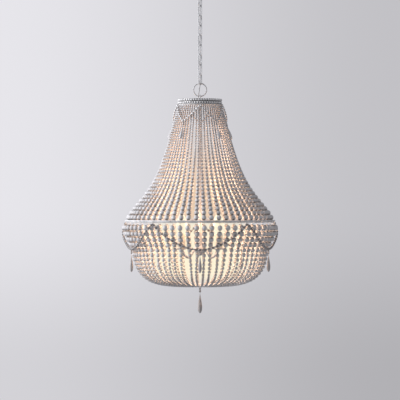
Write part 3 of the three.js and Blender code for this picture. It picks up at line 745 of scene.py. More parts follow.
class ChandelierFinish(bpy.types.PropertyGroup):
    """Colours of the chandelier's materials, and how much of them the wash covers"""

    wash: colour_property("Wash", "Whitewash on the beads", (0.62, 0.61, 0.63))
    wood: colour_property("Wood", "Wood under the wash", (0.34, 0.31, 0.29))
    grey_wash: colour_property("Grey wash", "Wash on the dark beads and drops", (0.47, 0.44, 0.44))
    dark_wood: colour_property("Dark wood", "Wood under the grey wash", (0.14, 0.12, 0.115))
    iron_wash: colour_property("Iron wash", "Whitewash on the ironwork", (0.64, 0.64, 0.66))
    chalk: colour_property("Chalk", "Wash on the palest beads, at the crown", (0.88, 0.87, 0.89))
    smoke: colour_property("Smoke", "Wash on the waist garland's dark beads", (0.26, 0.24, 0.24))
    iron: colour_property("Iron", "Dark iron under the wash", (0.17, 0.16, 0.155))
    steel: colour_property("Steel", "Plating of the ceiling strap", (0.60, 0.60, 0.58))
    brass: colour_property("Brass", "Caps of the bulbs", (0.62, 0.50, 0.28))
    ivory: colour_property("Ivory", "Sleeves of the candle sockets", (0.80, 0.76, 0.66))
    glow: colour_property("Glow", "Lit glass, and the warmth behind the shade", (1.0, 0.90, 0.68))
    sheath: colour_property("Sheath", "Supply cord", (0.5, 0.49, 0.5))
    bulb_strength: FloatProperty(
        name="Bulb strength", description="Brightness of the bulb glass", default=1.0, min=0
    )
    bead_cover: share_property("Bead cover", "How much of a bead the wash covers", 0.70)
    chalk_cover: share_property("Chalk cover", "How much of the palest beads the wash covers", 0.90)
    iron_cover: share_property("Iron cover", "How much of the ironwork the wash covers", 0.59)
    rubbed_cover: share_property("Rubbed cover", "How much of the rubbed rings the wash covers", 0.57)


class ChandelierStage(bpy.types.PropertyGroup):
    """Camera, backdrop and lamps"""

    distance: FloatProperty(
        name="Camera distance", description="From the axis", unit="LENGTH", default=9.0, min=1
    )
    view_width: FloatProperty(
        name="View width", description="Seen at the axis", unit="LENGTH", default=1.2904, min=MM
    )
    view_level: FloatProperty(
        name="View level", description="Height of the view's middle", unit="LENGTH", default=-0.7189
    )
    ambient: FloatProperty(name="Ambient", description="Light from all round", default=0.46, min=0)
    window: FloatProperty(
        name="Window", description="Power of the lamp on the left", unit="POWER", default=150, min=0
    )
    inner: FloatProperty(
        name="Bulb power", description="Power of each bulb's light", unit="POWER", default=1.4, min=0
    )
    backdrop: colour_property("Backdrop", "Wall behind the lamp", (0.799, 0.791, 0.831))
    lamplight: colour_property("Lamplight", "Light that the bulbs cast", (1.0, 0.62, 0.36))
    tent_light: colour_property("Tent light", "Light between the upper strands", (1.0, 0.58, 0.32))


def look(context, name):
    """The named material, made from the settings when it is first asked for.

    Its name in the file differs from the record's slot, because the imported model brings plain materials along
    under those names.
    """
    finish = context.scene.chandelier_finish
    title = f"dressed_{name}"
    made = bpy.data.materials.get(title)
    if made:
        return made
    recipes = {
        "whitewashed_wood": (washed_wood, finish.wash, finish.wood, finish.bead_cover),
        "chalked_wood": (washed_wood, finish.chalk, finish.wood, finish.chalk_cover),
        "greyed_wood": (washed_wood, finish.grey_wash, finish.dark_wood, finish.bead_cover),
        "smoked_wood": (washed_wood, finish.smoke, finish.dark_wood, finish.bead_cover),
        "whitewashed_iron": (washed_iron, finish.iron_wash, finish.iron, finish.iron_cover),
        "rubbed_iron": (washed_iron, finish.iron_wash, finish.iron, finish.rubbed_cover),
        "plated_steel": (plated_steel, finish.steel),
        "brass_cap": (brass_cap, finish.brass),
        "candle_sleeve": (candle_sleeve, finish.ivory),
        "bulb_glass": (lit_glass, finish.glow, finish.bulb_strength),
        "cord_sheath": (woven_cord, finish.sheath),
    }
    made = bpy.data.materials.new(title)
    recipe, *settings = recipes[name]
    recipe(Shader(made), *settings)
    return made


# Shapes shared by several pieces

SWAG_ANGLE = 2 * np.pi / SWAGS
STRAND_ANGLE = SWAG_ANGLE / STRANDS
FIRST_CONTACT = JOINTS["chain_swing_1"]["pos_m"][2] + LOOP_WIRE / 2 + GAP / 2


def flowing(points, steps=CURVE_STEPS):
    """A centripetal Catmull-Rom curve through points: its knots are a half power of the distances apart."""
    points = np.array(points, float)
    ends = 2 * points[[0, -1]] - points[[1, -2]]
    all_points = np.concatenate([ends[:1], points, ends[1:]])
    share = np.linspace(0, 1, steps, endpoint=False)[:, None]
    pieces = []
    for a, b, c, d in zip(all_points, all_points[1:], all_points[2:], all_points[3:]):
        ab, bc, cd = (np.sqrt(np.linalg.norm(q - p)) for p, q in ((a, b), (b, c), (c, d)))
        leaving = ((b - a) / ab - (c - a) / (ab + bc)) * bc + (c - b)
        arriving = ((d - c) / cd - (d - b) / (bc + cd)) * bc + (c - b)
        bend = (-3 * b + 3 * c - 2 * leaving - arriving) * share**2
        pieces.append(b + leaving * share + bend + (2 * b - 2 * c + leaving + arriving) * share**3)
    return np.concatenate(pieces + [points[-1:]])


def tent_radius(level):
    """Radius of the upper strands: a straight flare a mixed with a late curl sin(pi / 2 a^5)."""
    away = 1 - (level - WAIST_TOP) / UPPER_HEIGHT
    curl = np.sin(np.pi / 2 * away**UPPER_CURL_EXPONENT)
    flare = UPPER_STRAIGHT_SHARE * away + (1 - UPPER_STRAIGHT_SHARE) * curl
    return STRAND_TOP_RADIUS + (STRAND_WAIST_RADIUS - STRAND_TOP_RADIUS) * flare


def tent_bead(level):
    """Width of the beads on the upper strands, which grow evenly towards the waist."""
    share = (level - WAIST_TOP) / UPPER_HEIGHT
    return np.maximum(SMALL_BEAD, LARGE_BEAD - (LARGE_BEAD - SMALL_BEAD) * share / GRADING_SHARE)


def basket_point(turn):
    """Radius and level on the basket's superellipse: cos t and sin t to the power of 2 over its roundness."""
    power = 2 / BASKET_ROUNDNESS
    level = WAIST_MIDDLE - BASKET_SHOULDER - BASKET_FALL * np.sin(turn) ** power
    return BASKET_RADIUS * np.cos(turn) ** power, level


def basket_radius(level):
    """Radius of the lower strands at a level: a parabola, then the superellipse and its swelling shoulder.

    The swell is s (1 + cos(pi d)) / 2, where d runs from 0 at the widest place to 1 where the swell ends.
    """
    below = WAIST_MIDDLE - BASKET_SHOULDER - level
    lift = np.minimum(below, 0) / (WAIST_WIRE - WAIST_MIDDLE + BASKET_SHOULDER)
    inside = 1 - (np.maximum(below, 0) / BASKET_FALL) ** BASKET_ROUNDNESS
    body = BASKET_RADIUS * inside ** (1 / BASKET_ROUNDNESS)
    swell = SHOULDER_SWELL * (1 + np.cos(np.pi * np.clip(below / SHOULDER_FALL, 0, 1))) / 2
    return body + swell - (BASKET_RADIUS + SHOULDER_SWELL - BASKET_START) * lift**2


def basket_bead(level):
    """Width of the beads on the lower strands, which shrink below the large ones."""
    depths = [MIDDLE_BEAD_DEPTH, TAIL_BEAD_DEPTH, BASKET_DEPTH]
    return np.interp(WAIST_MIDDLE - level, depths, [LARGE_BEAD, MIDDLE_BEAD, TAIL_BEAD])


TAIL_TURN = math.asin(((TAIL_BEAD_DEPTH - BASKET_SHOULDER) / BASKET_FALL) ** (BASKET_ROUNDNESS / 2))
END_TURN = math.acos(((BOTTOM_OUTER + 2 * GAP) / BASKET_RADIUS) ** (BASKET_ROUNDNESS / 2))
BOTTOM_LEVEL = basket_point(END_TURN)[1]


def spokes(skin, count, inner, outer, level):
    """Straight round bars between two radii, the first at the front and the others evenly all round."""
    for index in range(count):
        azimuth = index * (2 * np.pi / count)
        path = at_azimuth(azimuth, np.linspace(inner, outer, SPOKE_STEPS), level)
        swept(skin, path, SPOKE_RADIUS, WIRE_SIDES)


def ring_profile(inner, outer, bottom, top):
    """The section of a flat ring."""
    return [(inner, bottom), (outer, bottom), (outer, top), (inner, top)]


# Ceiling fitting

BOWL_START = 0.05  # turn, in radians, where the bowl's curve leaves its flat rim


def canopy_profile():
    """The bowl's wall: a quarter ellipse (r cos t, -h sin t) outside, another inside, and a flat rim."""
    hole = BARREL_RADIUS + GAP
    turn = np.linspace(BOWL_START, np.pi / 2, ARC_STEPS)
    outside = [(hole + (CANOPY_RADIUS - hole) * math.cos(t), -CANOPY_HEIGHT * math.sin(t)) for t in turn]
    inner_height = CANOPY_HEIGHT - CANOPY_WALL
    inner_radius = CANOPY_RADIUS - CANOPY_WALL
    inside = [(hole + (inner_radius - hole) * math.cos(t), -inner_height * math.sin(t)) for t in turn]
    rim = [(inner_radius, 0), (CANOPY_RADIUS, 0)]
    return rim + outside + inside[::-1]


class CHANDELIER_OT_ceiling(bpy.types.Operator):
    """Strap, canopy, its screw collar and the loop that the chain hangs from"""

    bl_idname = "chandelier.ceiling"
    bl_label = "Ceiling fitting"

    def execute(self, context):
        iron = look(context, "whitewashed_iron")
        strap = frame["nodes"]["ceiling_strap"]
        strap.data.materials.clear()
        strap.data.materials.append(look(context, "plated_steel"))

        bowl = turned(Skin(), canopy_profile(), BOWL_SIDES)
        mount(bowl.object("canopy_bowl", iron), "canopy", "canopy")

        top = -CANOPY_HEIGHT - GAP
        inner, outer = BARREL_RADIUS + THREAD_DEPTH, BARREL_RADIUS + COLLAR_WIDTH
        profile = eased(ring_profile(inner, outer, top - COLLAR_HEIGHT, top), COLLAR_EDGE)
        collar = turned(Skin(), profile, 4 * COLLAR_FLUTES, flutes=COLLAR_FLUTES, flute_depth=FLUTE_DEPTH)
        mount(collar.object("screw_collar", iron), "collar", "canopy_collar")

        barrel_top = BARREL_RISE - CANOPY_HEIGHT
        barrel_bottom = barrel_top - BARREL_LENGTH
        strap_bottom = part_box("ceiling_strap")[0].z
        shank = [
            (0, strap_bottom - GAP),
            (NIPPLE_RADIUS, strap_bottom - GAP),
            (NIPPLE_RADIUS, barrel_top),
            (BARREL_RADIUS, barrel_top),
            (BARREL_RADIUS, barrel_bottom + 3 * BARREL_GROOVE),
            (BARREL_RADIUS - BARREL_GROOVE, barrel_bottom + 2 * BARREL_GROOVE),
            (BARREL_RADIUS, barrel_bottom + BARREL_GROOVE),
            (BARREL_RADIUS - BARREL_GROOVE, barrel_bottom),
            (0, barrel_bottom),
        ]
        loop = turned(Skin(), eased(shank, BARREL_EDGE, closed=False), SMALL_SIDES)
        diagonal = math.sqrt(0.5)
        centre = (0, 0, barrel_bottom - LOOP_EYE - LOOP_WIRE + OVERRUN)
        eye = circle(LOOP_EYE + LOOP_WIRE / 2, SMALL_SIDES, centre, across=(diagonal, -diagonal, 0))
        swept(loop, eye, LOOP_WIRE / 2, BAR_SIDES, (diagonal, diagonal, 0), closed=True)
        bore, low, high = CORD_DIAMETER / 2, barrel_bottom - BUSH_WALL, barrel_bottom + BUSH_WALL
        bush = eased(ring_profile(bore, bore + BUSH_WALL, low, high), BUSH_EDGE)
        turned(loop, bush, BUSH_SIDES, centre=(0, BARREL_CORD_OFFSET))
        mount(loop.object("hanging_loop", iron), "ceiling_mount", "canopy_loop")
        return {"FINISHED"}


# Chain, hanging ring and cord


def link_path(centre, azimuth):
    """Middle line of a link in an upright plane: half circles (r cos u, r sin u) joined by straight sides."""
    bend = (LINK_WIDTH - LINK_WIRE) / 2
    straight = (LINK_PITCH + GAP + LINK_WIRE) / 2 - bend
    turn = np.linspace(0, np.pi, BEND_STEPS)
    turn = np.concatenate([turn, turn + np.pi])
    shift = np.repeat([straight, -straight], BEND_STEPS)
    across, up = bend * np.cos(turn), bend * np.sin(turn) + shift
    return np.stack([across * math.cos(azimuth), across * math.sin(azimuth), centre + up], axis=-1)


class CHANDELIER_OT_chain(bpy.types.Operator):
    """Chain links and the ring that the crown hangs in"""

    bl_idname = "chandelier.chain"
    bl_label = "Chain and ring"

    def execute(self, context):
        iron = look(context, "whitewashed_iron")
        for index in range(LINK_COUNT):
            azimuth = math.pi / 4 if index % 2 == 0 else -math.pi / 4
            centre = FIRST_CONTACT - (index + 0.5) * LINK_PITCH
            normal = (-math.sin(azimuth), math.cos(azimuth), 0)
            link = swept(Skin(), link_path(centre, azimuth), LINK_WIRE / 2, WIRE_SIDES, normal, closed=True)
            name = f"chain_link_{index + 1}"
            mount(link.object(f"link_{index + 1}", iron), f"link_{index + 1}", name)
        low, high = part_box("hanging_ring")
        path = circle(RING_RADIUS - RING_WIRE / 2, RING_STEPS, (0, 0, (low.z + high.z) / 2))
        ring = swept(Skin(), path, RING_WIRE / 2, BAR_SIDES, (0, 1, 0), closed=True)
        mount(ring.object("crown_hanging_ring", iron), "hanging_ring", "hanging_ring")
        return {"FINISHED"}


def cord_route():
    """The cord's points: out of the barrel, to and fro through the links and ring, and into the crown."""
    barrel_bottom = BARREL_RISE - CANOPY_HEIGHT - BARREL_LENGTH
    ring_middle = sum(corner.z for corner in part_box("hanging_ring")) / 2
    contact = JOINTS["shade_swing"]["pos_m"][2] + GAP / 2 + RING_WIRE / 2
    cap_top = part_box("crown_loop")[0].z + STEM_CAP_HEIGHT
    points = [
        (0, BARREL_CORD_OFFSET, barrel_bottom + CORD_HOLE_DEPTH - GAP),
        (0, BARREL_CORD_OFFSET, barrel_bottom - LOOP_WIRE / 2),
    ]
    for index in range(LINK_COUNT + 1):
        side = CORD_OFFSET if index % 2 == 0 else -CORD_OFFSET
        level = FIRST_CONTACT - index * LINK_PITCH
        points.append((0, side + (LOOP_WIRE / 2 if index == 0 else 0), level))
        if index < LINK_COUNT:
            points.append((0, 0, level - LINK_PITCH / 2))
    beside = CROWN_EYE_WIRE / 2 + CORD_DIAMETER
    across = CORD_HOLE_OFFSET * math.sqrt(0.5)
    points += [
        (-beside / 2, -CORD_OFFSET, ring_middle),
        (-beside, -CORD_OFFSET, contact),
        (-across, -across, cap_top - STEM_CAP_HEIGHT / 2),
        (-across, -across, STEM_TOP - CORD_HOLE_DEPTH + GAP),
    ]
    return points


class CHANDELIER_OT_cord(bpy.types.Operator):
    """Supply cord, in one stretch for each joint of the chain"""

    bl_idname = "chandelier.cord"
    bl_label = "Supply cord"

    def execute(self, context):
        sheath = look(context, "cord_sheath")
        line = flowing(cord_route(), CORD_STEPS)
        links = [f"link_{index + 1}" for index in range(LINK_COUNT)]
        chain = ["ceiling_mount", *links, "hanging_ring", "shade"]
        swings = [f"chain_swing_{index + 1}" for index in range(LINK_COUNT)]
        levels = [JOINTS[name]["pos_m"][2] for name in (*swings, "ring_swing", "shade_swing")]
        cuts = [line[0, 2]] + [(high + low) / 2 for high, low in zip(levels, levels[1:])] + [line[-1, 2]]
        for index, level in enumerate(levels):
            wanted = np.linspace(cuts[index], cuts[index + 1], STRETCH_STEPS)
            path = between(-wanted, -line[:, 2], line)
            cord = swept(Skin(), path, CORD_DIAMETER / 2, WIRE_SIDES, (1, 0, 0))
            stretch = cord.object(f"cord_stretch_{index + 1}", sheath)
            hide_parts("supply_cord")
            above, below = (0, 0, level + CORD_BEND), (0, 0, level - CORD_BEND)
            chain[index + 1]
            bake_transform(stretch)
        return {"FINISHED"}


# Crown

CROWN_WALL_SHADE = [0.0, 1.0, 0.0], [9, 4, 5]  # painted shade, 1 on the wall's face behind the beads, and how many points of the rim's profile have it


class CHANDELIER_OT_crown(bpy.types.Operator):
    """Crown loop, crown frame and its two rows of small beads"""

    bl_idname = "chandelier.crown"
    bl_label = "Crown"

    def execute(self, context):
        iron, chalk = look(context, "whitewashed_iron"), look(context, "chalked_wood")
        low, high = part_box("crown_loop")
        top_share, side_share = STEM_CAP_SHARES
        cap_top = low.z + STEM_CAP_HEIGHT
        cap = [(0, low.z), (STEM_CAP_RADIUS, low.z), (STEM_CAP_RADIUS, low.z + STEM_CAP_HEIGHT * side_share)]
        cap += [(STEM_CAP_RADIUS * top_share, cap_top), (0, cap_top)]
        loop = turned(Skin(), eased(cap, STEM_CAP_EDGE, closed=False), SLIM_SIDES)
        centre = (0, 0, high.z - CROWN_EYE - CROWN_EYE_WIRE)
        eye = circle(CROWN_EYE + CROWN_EYE_WIRE / 2, EYE_STEPS, centre, across=(0, 1, 0))
        swept(loop, eye, CROWN_EYE_WIRE / 2, WIRE_SIDES, (1, 0, 0), closed=True)
        mount(loop.object("crown_eye", iron), "shade", "crown_loop")

        inner = CROWN_WALL_RADIUS - CROWN_WALL
        flange_top = CROWN_BOTTOM + CROWN_FLANGE
        rim = [(inner, CROWN_BOTTOM), (CROWN_FLANGE_RADIUS, CROWN_BOTTOM), (CROWN_FLANGE_RADIUS, flange_top)]
        rim += [(CROWN_WALL_RADIUS, flange_top), (CROWN_WALL_RADIUS, CROWN_TOP), (inner, CROWN_TOP)]
        # The wall's face behind the beads is darkened to the bare iron as painted shade
        crown = turned(Skin(), eased(rim, CROWN_EDGE), RING_SIDES, wear=np.repeat(*CROWN_WALL_SHADE))
        hub_bottom = STEM_TOP - CROWN_HUB_HEIGHT
        hub = ring_profile(STEM_RADIUS + GAP, CROWN_HUB_RADIUS, hub_bottom, STEM_TOP)
        turned(crown, eased(hub, CROWN_HUB_EDGE), SMALL_SIDES)
        hub_middle = (hub_bottom + STEM_TOP) / 2
        spokes(crown, SPOKES, CROWN_HUB_RADIUS - OVERRUN, inner + OVERRUN, hub_middle)
        mount(crown.object("crown_ring", iron), "shade", "crown_frame")

        row_height = (CROWN_TOP - flange_top - 2 * GAP) / 2
        width_share, height_share = CROWN_BEAD_SHARES
        for row, node in enumerate(("crown_beads_lower", "crown_beads_upper")):
            middle = flange_top + GAP + row * (row_height + GAP) + row_height / 2
            azimuth = (np.arange(CROWN_BEADS) + row / 2) * 2 * np.pi / CROWN_BEADS
            radius = CROWN_WALL_RADIUS + GAP + CROWN_BEAD_WIDTH / 2
            centres = at_azimuth(azimuth, radius, middle)
            axes = np.tile([0.0, 0.0, 1.0], (CROWN_BEADS, 1))
            width = 2 * np.pi * radius / CROWN_BEADS * width_share
            outward, height = at_azimuth(azimuth, 1, 0), row_height * height_share
            row_beads = beads(Skin(), centres, axes, outward, width, height, depth=CROWN_BEAD_WIDTH)
            mount(row_beads.object(f"crown_row_{row + 1}", chalk), "shade", node)
        return {"FINISHED"}


# Stem and lamps


class CHANDELIER_OT_stem(bpy.types.Operator):
    """Centre stem, lamp hub and the nut below it"""

    bl_idname = "chandelier.stem"
    bl_label = "Stem"

    def execute(self, context):
        iron = look(context, "whitewashed_iron")
        profile = eased(ring_profile(STEM_BORE, STEM_RADIUS, STEM_BOTTOM, STEM_TOP), STEM_EDGE)
        tube = turned(Skin(), profile, SLIM_SIDES)
        mount(tube.object("stem_tube", iron), "shade", "centre_stem")

        low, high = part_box("lamp_hub")
        share = np.linspace(0, 1, BULGE_STEPS)
        swell = (1 - HUB_NECK_SHARE) * np.sin(np.pi * share) ** HUB_BULGE_POWER
        bulge = HUB_RADIUS * (HUB_NECK_SHARE + swell)
        bore = STEM_RADIUS + GAP
        outline = [(bore, low.z)] + list(zip(bulge, low.z + HUB_HEIGHT * share)) + [(bore, high.z)]
        body = turned(Skin(), outline, BODY_SIDES)
        mount(body.object("lamp_body", iron), "shade", "lamp_hub")

        low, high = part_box("stem_nut")
        turn = np.linspace(0, np.pi / 2, DOME_STEPS)
        rise = NUT_HEIGHT * NUT_DOME_SHARE
        outline = [(NUT_RADIUS * math.sin(t), low.z + rise * (1 - math.cos(t))) for t in turn]
        outline += [(NUT_RADIUS, high.z), (bore, high.z), (bore, STEM_BOTTOM - GAP), (0, STEM_BOTTOM - GAP)]
        nut = turned(Skin(), outline, SMALL_SIDES)
        mount(nut.object("dome_nut", iron), "shade", "stem_nut")
        return {"FINISHED"}


def lamp_places():
    """Azimuth and (x, y) of each lamp."""
    azimuths = (np.arange(LAMPS) + 0.5) * 2 * np.pi / LAMPS
    return [(azimuth, at_azimuth(azimuth, ARM_REACH, 0)[:2]) for azimuth in azimuths]


class CHANDELIER_OT_lamps(bpy.types.Operator):
    """Lamp arms with their drip pans, candle sockets and bulbs"""

    bl_idname = "chandelier.lamps"
    bl_label = "Lamps"

    def execute(self, context):
        iron = look(context, "whitewashed_iron")
        sleeve, glass, brass = (look(context, name) for name in ("candle_sleeve", "bulb_glass", "brass_cap"))
        hub_low, hub_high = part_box("lamp_hub")
        start = (hub_low.z + hub_high.z) / 2
        low = start - ARM_SAG
        foot = WAIST_MIDDLE - SOCKET_DROP
        side = HUB_RADIUS + GAP
        pan_bottom = foot - PAN_HEIGHT - GAP
        outline = [(side, start), (side + ARM_RADIUS, start), ((side + ARM_REACH) / 2, low)]
        outline += [(ARM_REACH - 2 * ARM_RADIUS, (start + low) / 2), (ARM_REACH, pan_bottom + OVERRUN)]
        curve = flowing([(radius, 0, level) for radius, level in outline])
        top = foot + SOCKET_HEIGHT
        for index, (azimuth, spot) in enumerate(lamp_places()):
            path = at_azimuth(azimuth, curve[:, 0], curve[:, 2])
            arm = swept(Skin(), path, ARM_RADIUS, BAR_SIDES, at_azimuth(azimuth + np.pi / 2, 1, 0))
            turned(arm, self.pan_profile(pan_bottom, foot - GAP), BODY_SIDES, centre=spot)
            name = f"lamp_arm_{index + 1}"
            mount(arm.object(f"curved_arm_{index + 1}", iron), "shade", name)

            socket = turned(Skin(), self.socket_profile(foot, top), SMALL_SIDES, centre=spot)
            name = f"lamp_socket_{index + 1}"
            mount(socket.object(f"candle_sleeve_{index + 1}", sleeve), "shade", name)

            bulb = turned(Skin(), self.cap_profile(top), SLIM_SIDES, centre=spot, look=1)
            turned(bulb, self.glass_profile(top + GAP), SLIM_SIDES, centre=spot)
            name = f"bulb_{index + 1}"
            mount(bulb.object(f"candle_bulb_{index + 1}", glass, brass), name, name)
        return {"FINISHED"}

    @staticmethod
    def pan_profile(bottom, top):
        """A shallow dish with a flat foot, an upright lip and a raised middle under the socket."""
        foot_share, floor_share = PAN_SHARES
        pan = [(0, bottom), (PAN_RADIUS * foot_share, bottom), (PAN_RADIUS, top - PAN_LIP), (PAN_RADIUS, top)]
        pan += [(PAN_RADIUS - PAN_LIP, top), (PAN_RADIUS * floor_share, top - PAN_LIP)]
        pan += [(SOCKET_RADIUS, top), (0, top)]
        return eased(pan, PAN_EDGE, closed=False)

    @staticmethod
    def socket_profile(foot, top):
        """A round cup with straight walls."""
        floor = foot + SOCKET_FLOOR
        wall = [(0, foot), (SOCKET_RADIUS, foot), (SOCKET_RADIUS, top)]
        wall += [(SOCKET_BORE, top), (SOCKET_BORE, floor), (0, floor)]
        return eased(wall, SOCKET_EDGE, closed=False)

    @staticmethod
    def cap_profile(top):
        """A bulb's cap: its contact, and a thread whose depth follows (1 - cos(2 pi n t)) / 2."""
        bottom = top - BULB_CAP_HEIGHT
        share = np.linspace(0, 1, THREAD_STEPS)
        radius = BULB_CAP_RADIUS - BULB_THREAD_DEPTH * (1 - np.cos(2 * np.pi * share * BULB_CAP_TURNS)) / 2
        level = bottom + BULB_CONTACT_HEIGHT + (BULB_CAP_HEIGHT - BULB_CONTACT_HEIGHT) * share
        return [(0, bottom), (BULB_CONTACT_RADIUS, bottom), *zip(radius, level), (0, top + GAP)]

    @staticmethod
    def glass_profile(bottom):
        """A candle bulb's outline, flowing through its neck, belly and drawn tip."""
        points = [(BULB_RADIUS * out, 0, bottom + BULB_HEIGHT * up) for out, up in BULB_SHARES]
        outline = [(radius, level) for radius, _, level in flowing(points, BULB_STEPS)]
        return [(0, bottom), *outline, (0, bottom + BULB_HEIGHT)]


# Rings


class CHANDELIER_OT_rings(bpy.types.Operator):
    """Waist ring and bottom ring, with their spokes and hubs"""

    bl_idname = "chandelier.rings"
    bl_label = "Waist and bottom rings"

    def execute(self, context):
        iron = look(context, "rubbed_iron")
        hoop = ring_profile(WAIST_INNER, WAIST_OUTER, WAIST_BOTTOM, WAIST_TOP)
        waist = turned(Skin(), eased(hoop, WAIST_EDGE), RIM_SIDES)
        hub = ring_profile(STEM_RADIUS + GAP, WAIST_HUB, WAIST_BOTTOM - OVERRUN, WAIST_TOP + OVERRUN)
        turned(waist, eased(hub, WAIST_HUB_EDGE), SMALL_SIDES)
        spokes(waist, SPOKES, WAIST_HUB - OVERRUN, WAIST_INNER + OVERRUN, WAIST_MIDDLE)
        mount(waist.object("waist_hoop", iron), "shade", "waist_ring")

        low = BOTTOM_LEVEL - BOTTOM_HEIGHT / 2
        hoop = ring_profile(BOTTOM_INNER, BOTTOM_OUTER, low, low + BOTTOM_HEIGHT)
        bottom = turned(Skin(), eased(hoop, BOTTOM_EDGE), RING_SIDES)
        hub_top = low + BOTTOM_HUB_HEIGHT
        hub = [(0, low), (BOTTOM_HUB, low), (BOTTOM_HUB, hub_top), (0, hub_top)]
        turned(bottom, eased(hub, BOTTOM_HUB_EDGE, closed=False), SMALL_SIDES)
        spokes(bottom, SWAGS, BOTTOM_HUB - OVERRUN, BOTTOM_INNER + OVERRUN, BOTTOM_LEVEL)
        pin_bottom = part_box("bottom_ring")[0].z
        pin = [(0, pin_bottom), (NECK_RADIUS, pin_bottom), (NECK_RADIUS, low + OVERRUN), (0, low + OVERRUN)]
        turned(bottom, eased(pin, PIN_EDGE, closed=False), PIN_SIDES)
        mount(bottom.object("bottom_hoop", iron), "shade", "bottom_ring")
        return {"FINISHED"}


# Strands

LACE_SHARE = 0.999  # of a swag's angle, so that neighbouring bars don't meet
WAVE_SPREAD = 0.5
WANDER_SHARE = 0.45  # of the room between neighbours, which a strand wanders over
BEAD_WIDTH_SHARES = 0.96, 1.0
BEAD_LENGTH_SHARES = 0.99, 1.08  # the most that a bead takes of its room, and of its width
PITCH_SHARES = 0.985, 1.015
# Height shares from the waist up to the crown, and the pitch there over the beads' width
TENT_PITCH_SHARES = [0, 0.4, 0.57, 0.78, 0.9, 1], [1.05, 1.15, 1.3, 1.3, 1.02, 1]
# Levels in the basket, and the pitch there over the beads' width
BASKET_LEVELS = [WAIST_MIDDLE - TAIL_BEAD_DEPTH, WAIST_MIDDLE - MIDDLE_BEAD_DEPTH]
BASKET_PITCH_SHARES = [1.35, 1.12]
LARGE_BEADS = 3  # at the top of each lower strand


def lacing(skin, swag, radius, level):
    """The wire bar that ties one swag's strands to their ring."""
    azimuth = swag * SWAG_ANGLE + np.linspace(-0.5, 0.5, LACE_STEPS) * SWAG_ANGLE * LACE_SHARE
    return swept(skin, at_azimuth(azimuth, radius, level), LACE_WIDTH / 2, LACE_SIDES, look=1)


def strand(skin, azimuth, path, bead_at, parts):
    """One strand: its wire along the whole path, and beads on each of its parts.

    path holds (radius, level) rows, and a part is (path, pitch). The strand wanders sideways in the room
    r a - w between its neighbours: by a share of it times b sin(pi v) + c sin(2 pi v).
    """
    aside = at_azimuth(azimuth + np.pi / 2, 1, 0)
    waves = random.normal(0, WAVE_SPREAD, 2)

    def spots(rows):
        radius, level = rows[:, 0], rows[:, 1]
        share = (level - path[0, 1]) / (path[-1, 1] - path[0, 1])
        wander = np.clip(waves[0] * np.sin(np.pi * share) + waves[1] * np.sin(2 * np.pi * share), -1, 1)
        shift = WANDER_SHARE * (radius * STRAND_ANGLE - bead_at(level)) * wander
        return at_azimuth(azimuth, radius, level) + shift[:, None] * aside

    swept(skin, spots(path), THREAD_WIDTH / 2, THREAD_SIDES, aside, look=1)
    room_share, width_share = BEAD_LENGTH_SHARES
    for stretch, pitch in parts:
        centres, directions, room = spaced(stretch, pitch)
        axes = at_azimuth(azimuth, directions[:, 0], directions[:, 1])
        outward = at_azimuth(azimuth, -directions[:, 1], directions[:, 0])
        width = bead_at(centres[:, 1]) * random.uniform(*BEAD_WIDTH_SHARES, len(centres))
        length = np.minimum(room * room_share, width * width_share)
        beads(skin, spots(centres), axes, outward, width, length, BEAD_SIDES)
    return skin


def upright_stretch(high, low):
    """Radius and level of a lower strand between two depths below the waist ring."""
    level = WAIST_MIDDLE - np.linspace(high, low, UPRIGHT_STEPS)
    return np.stack([basket_radius(level), level], axis=-1)


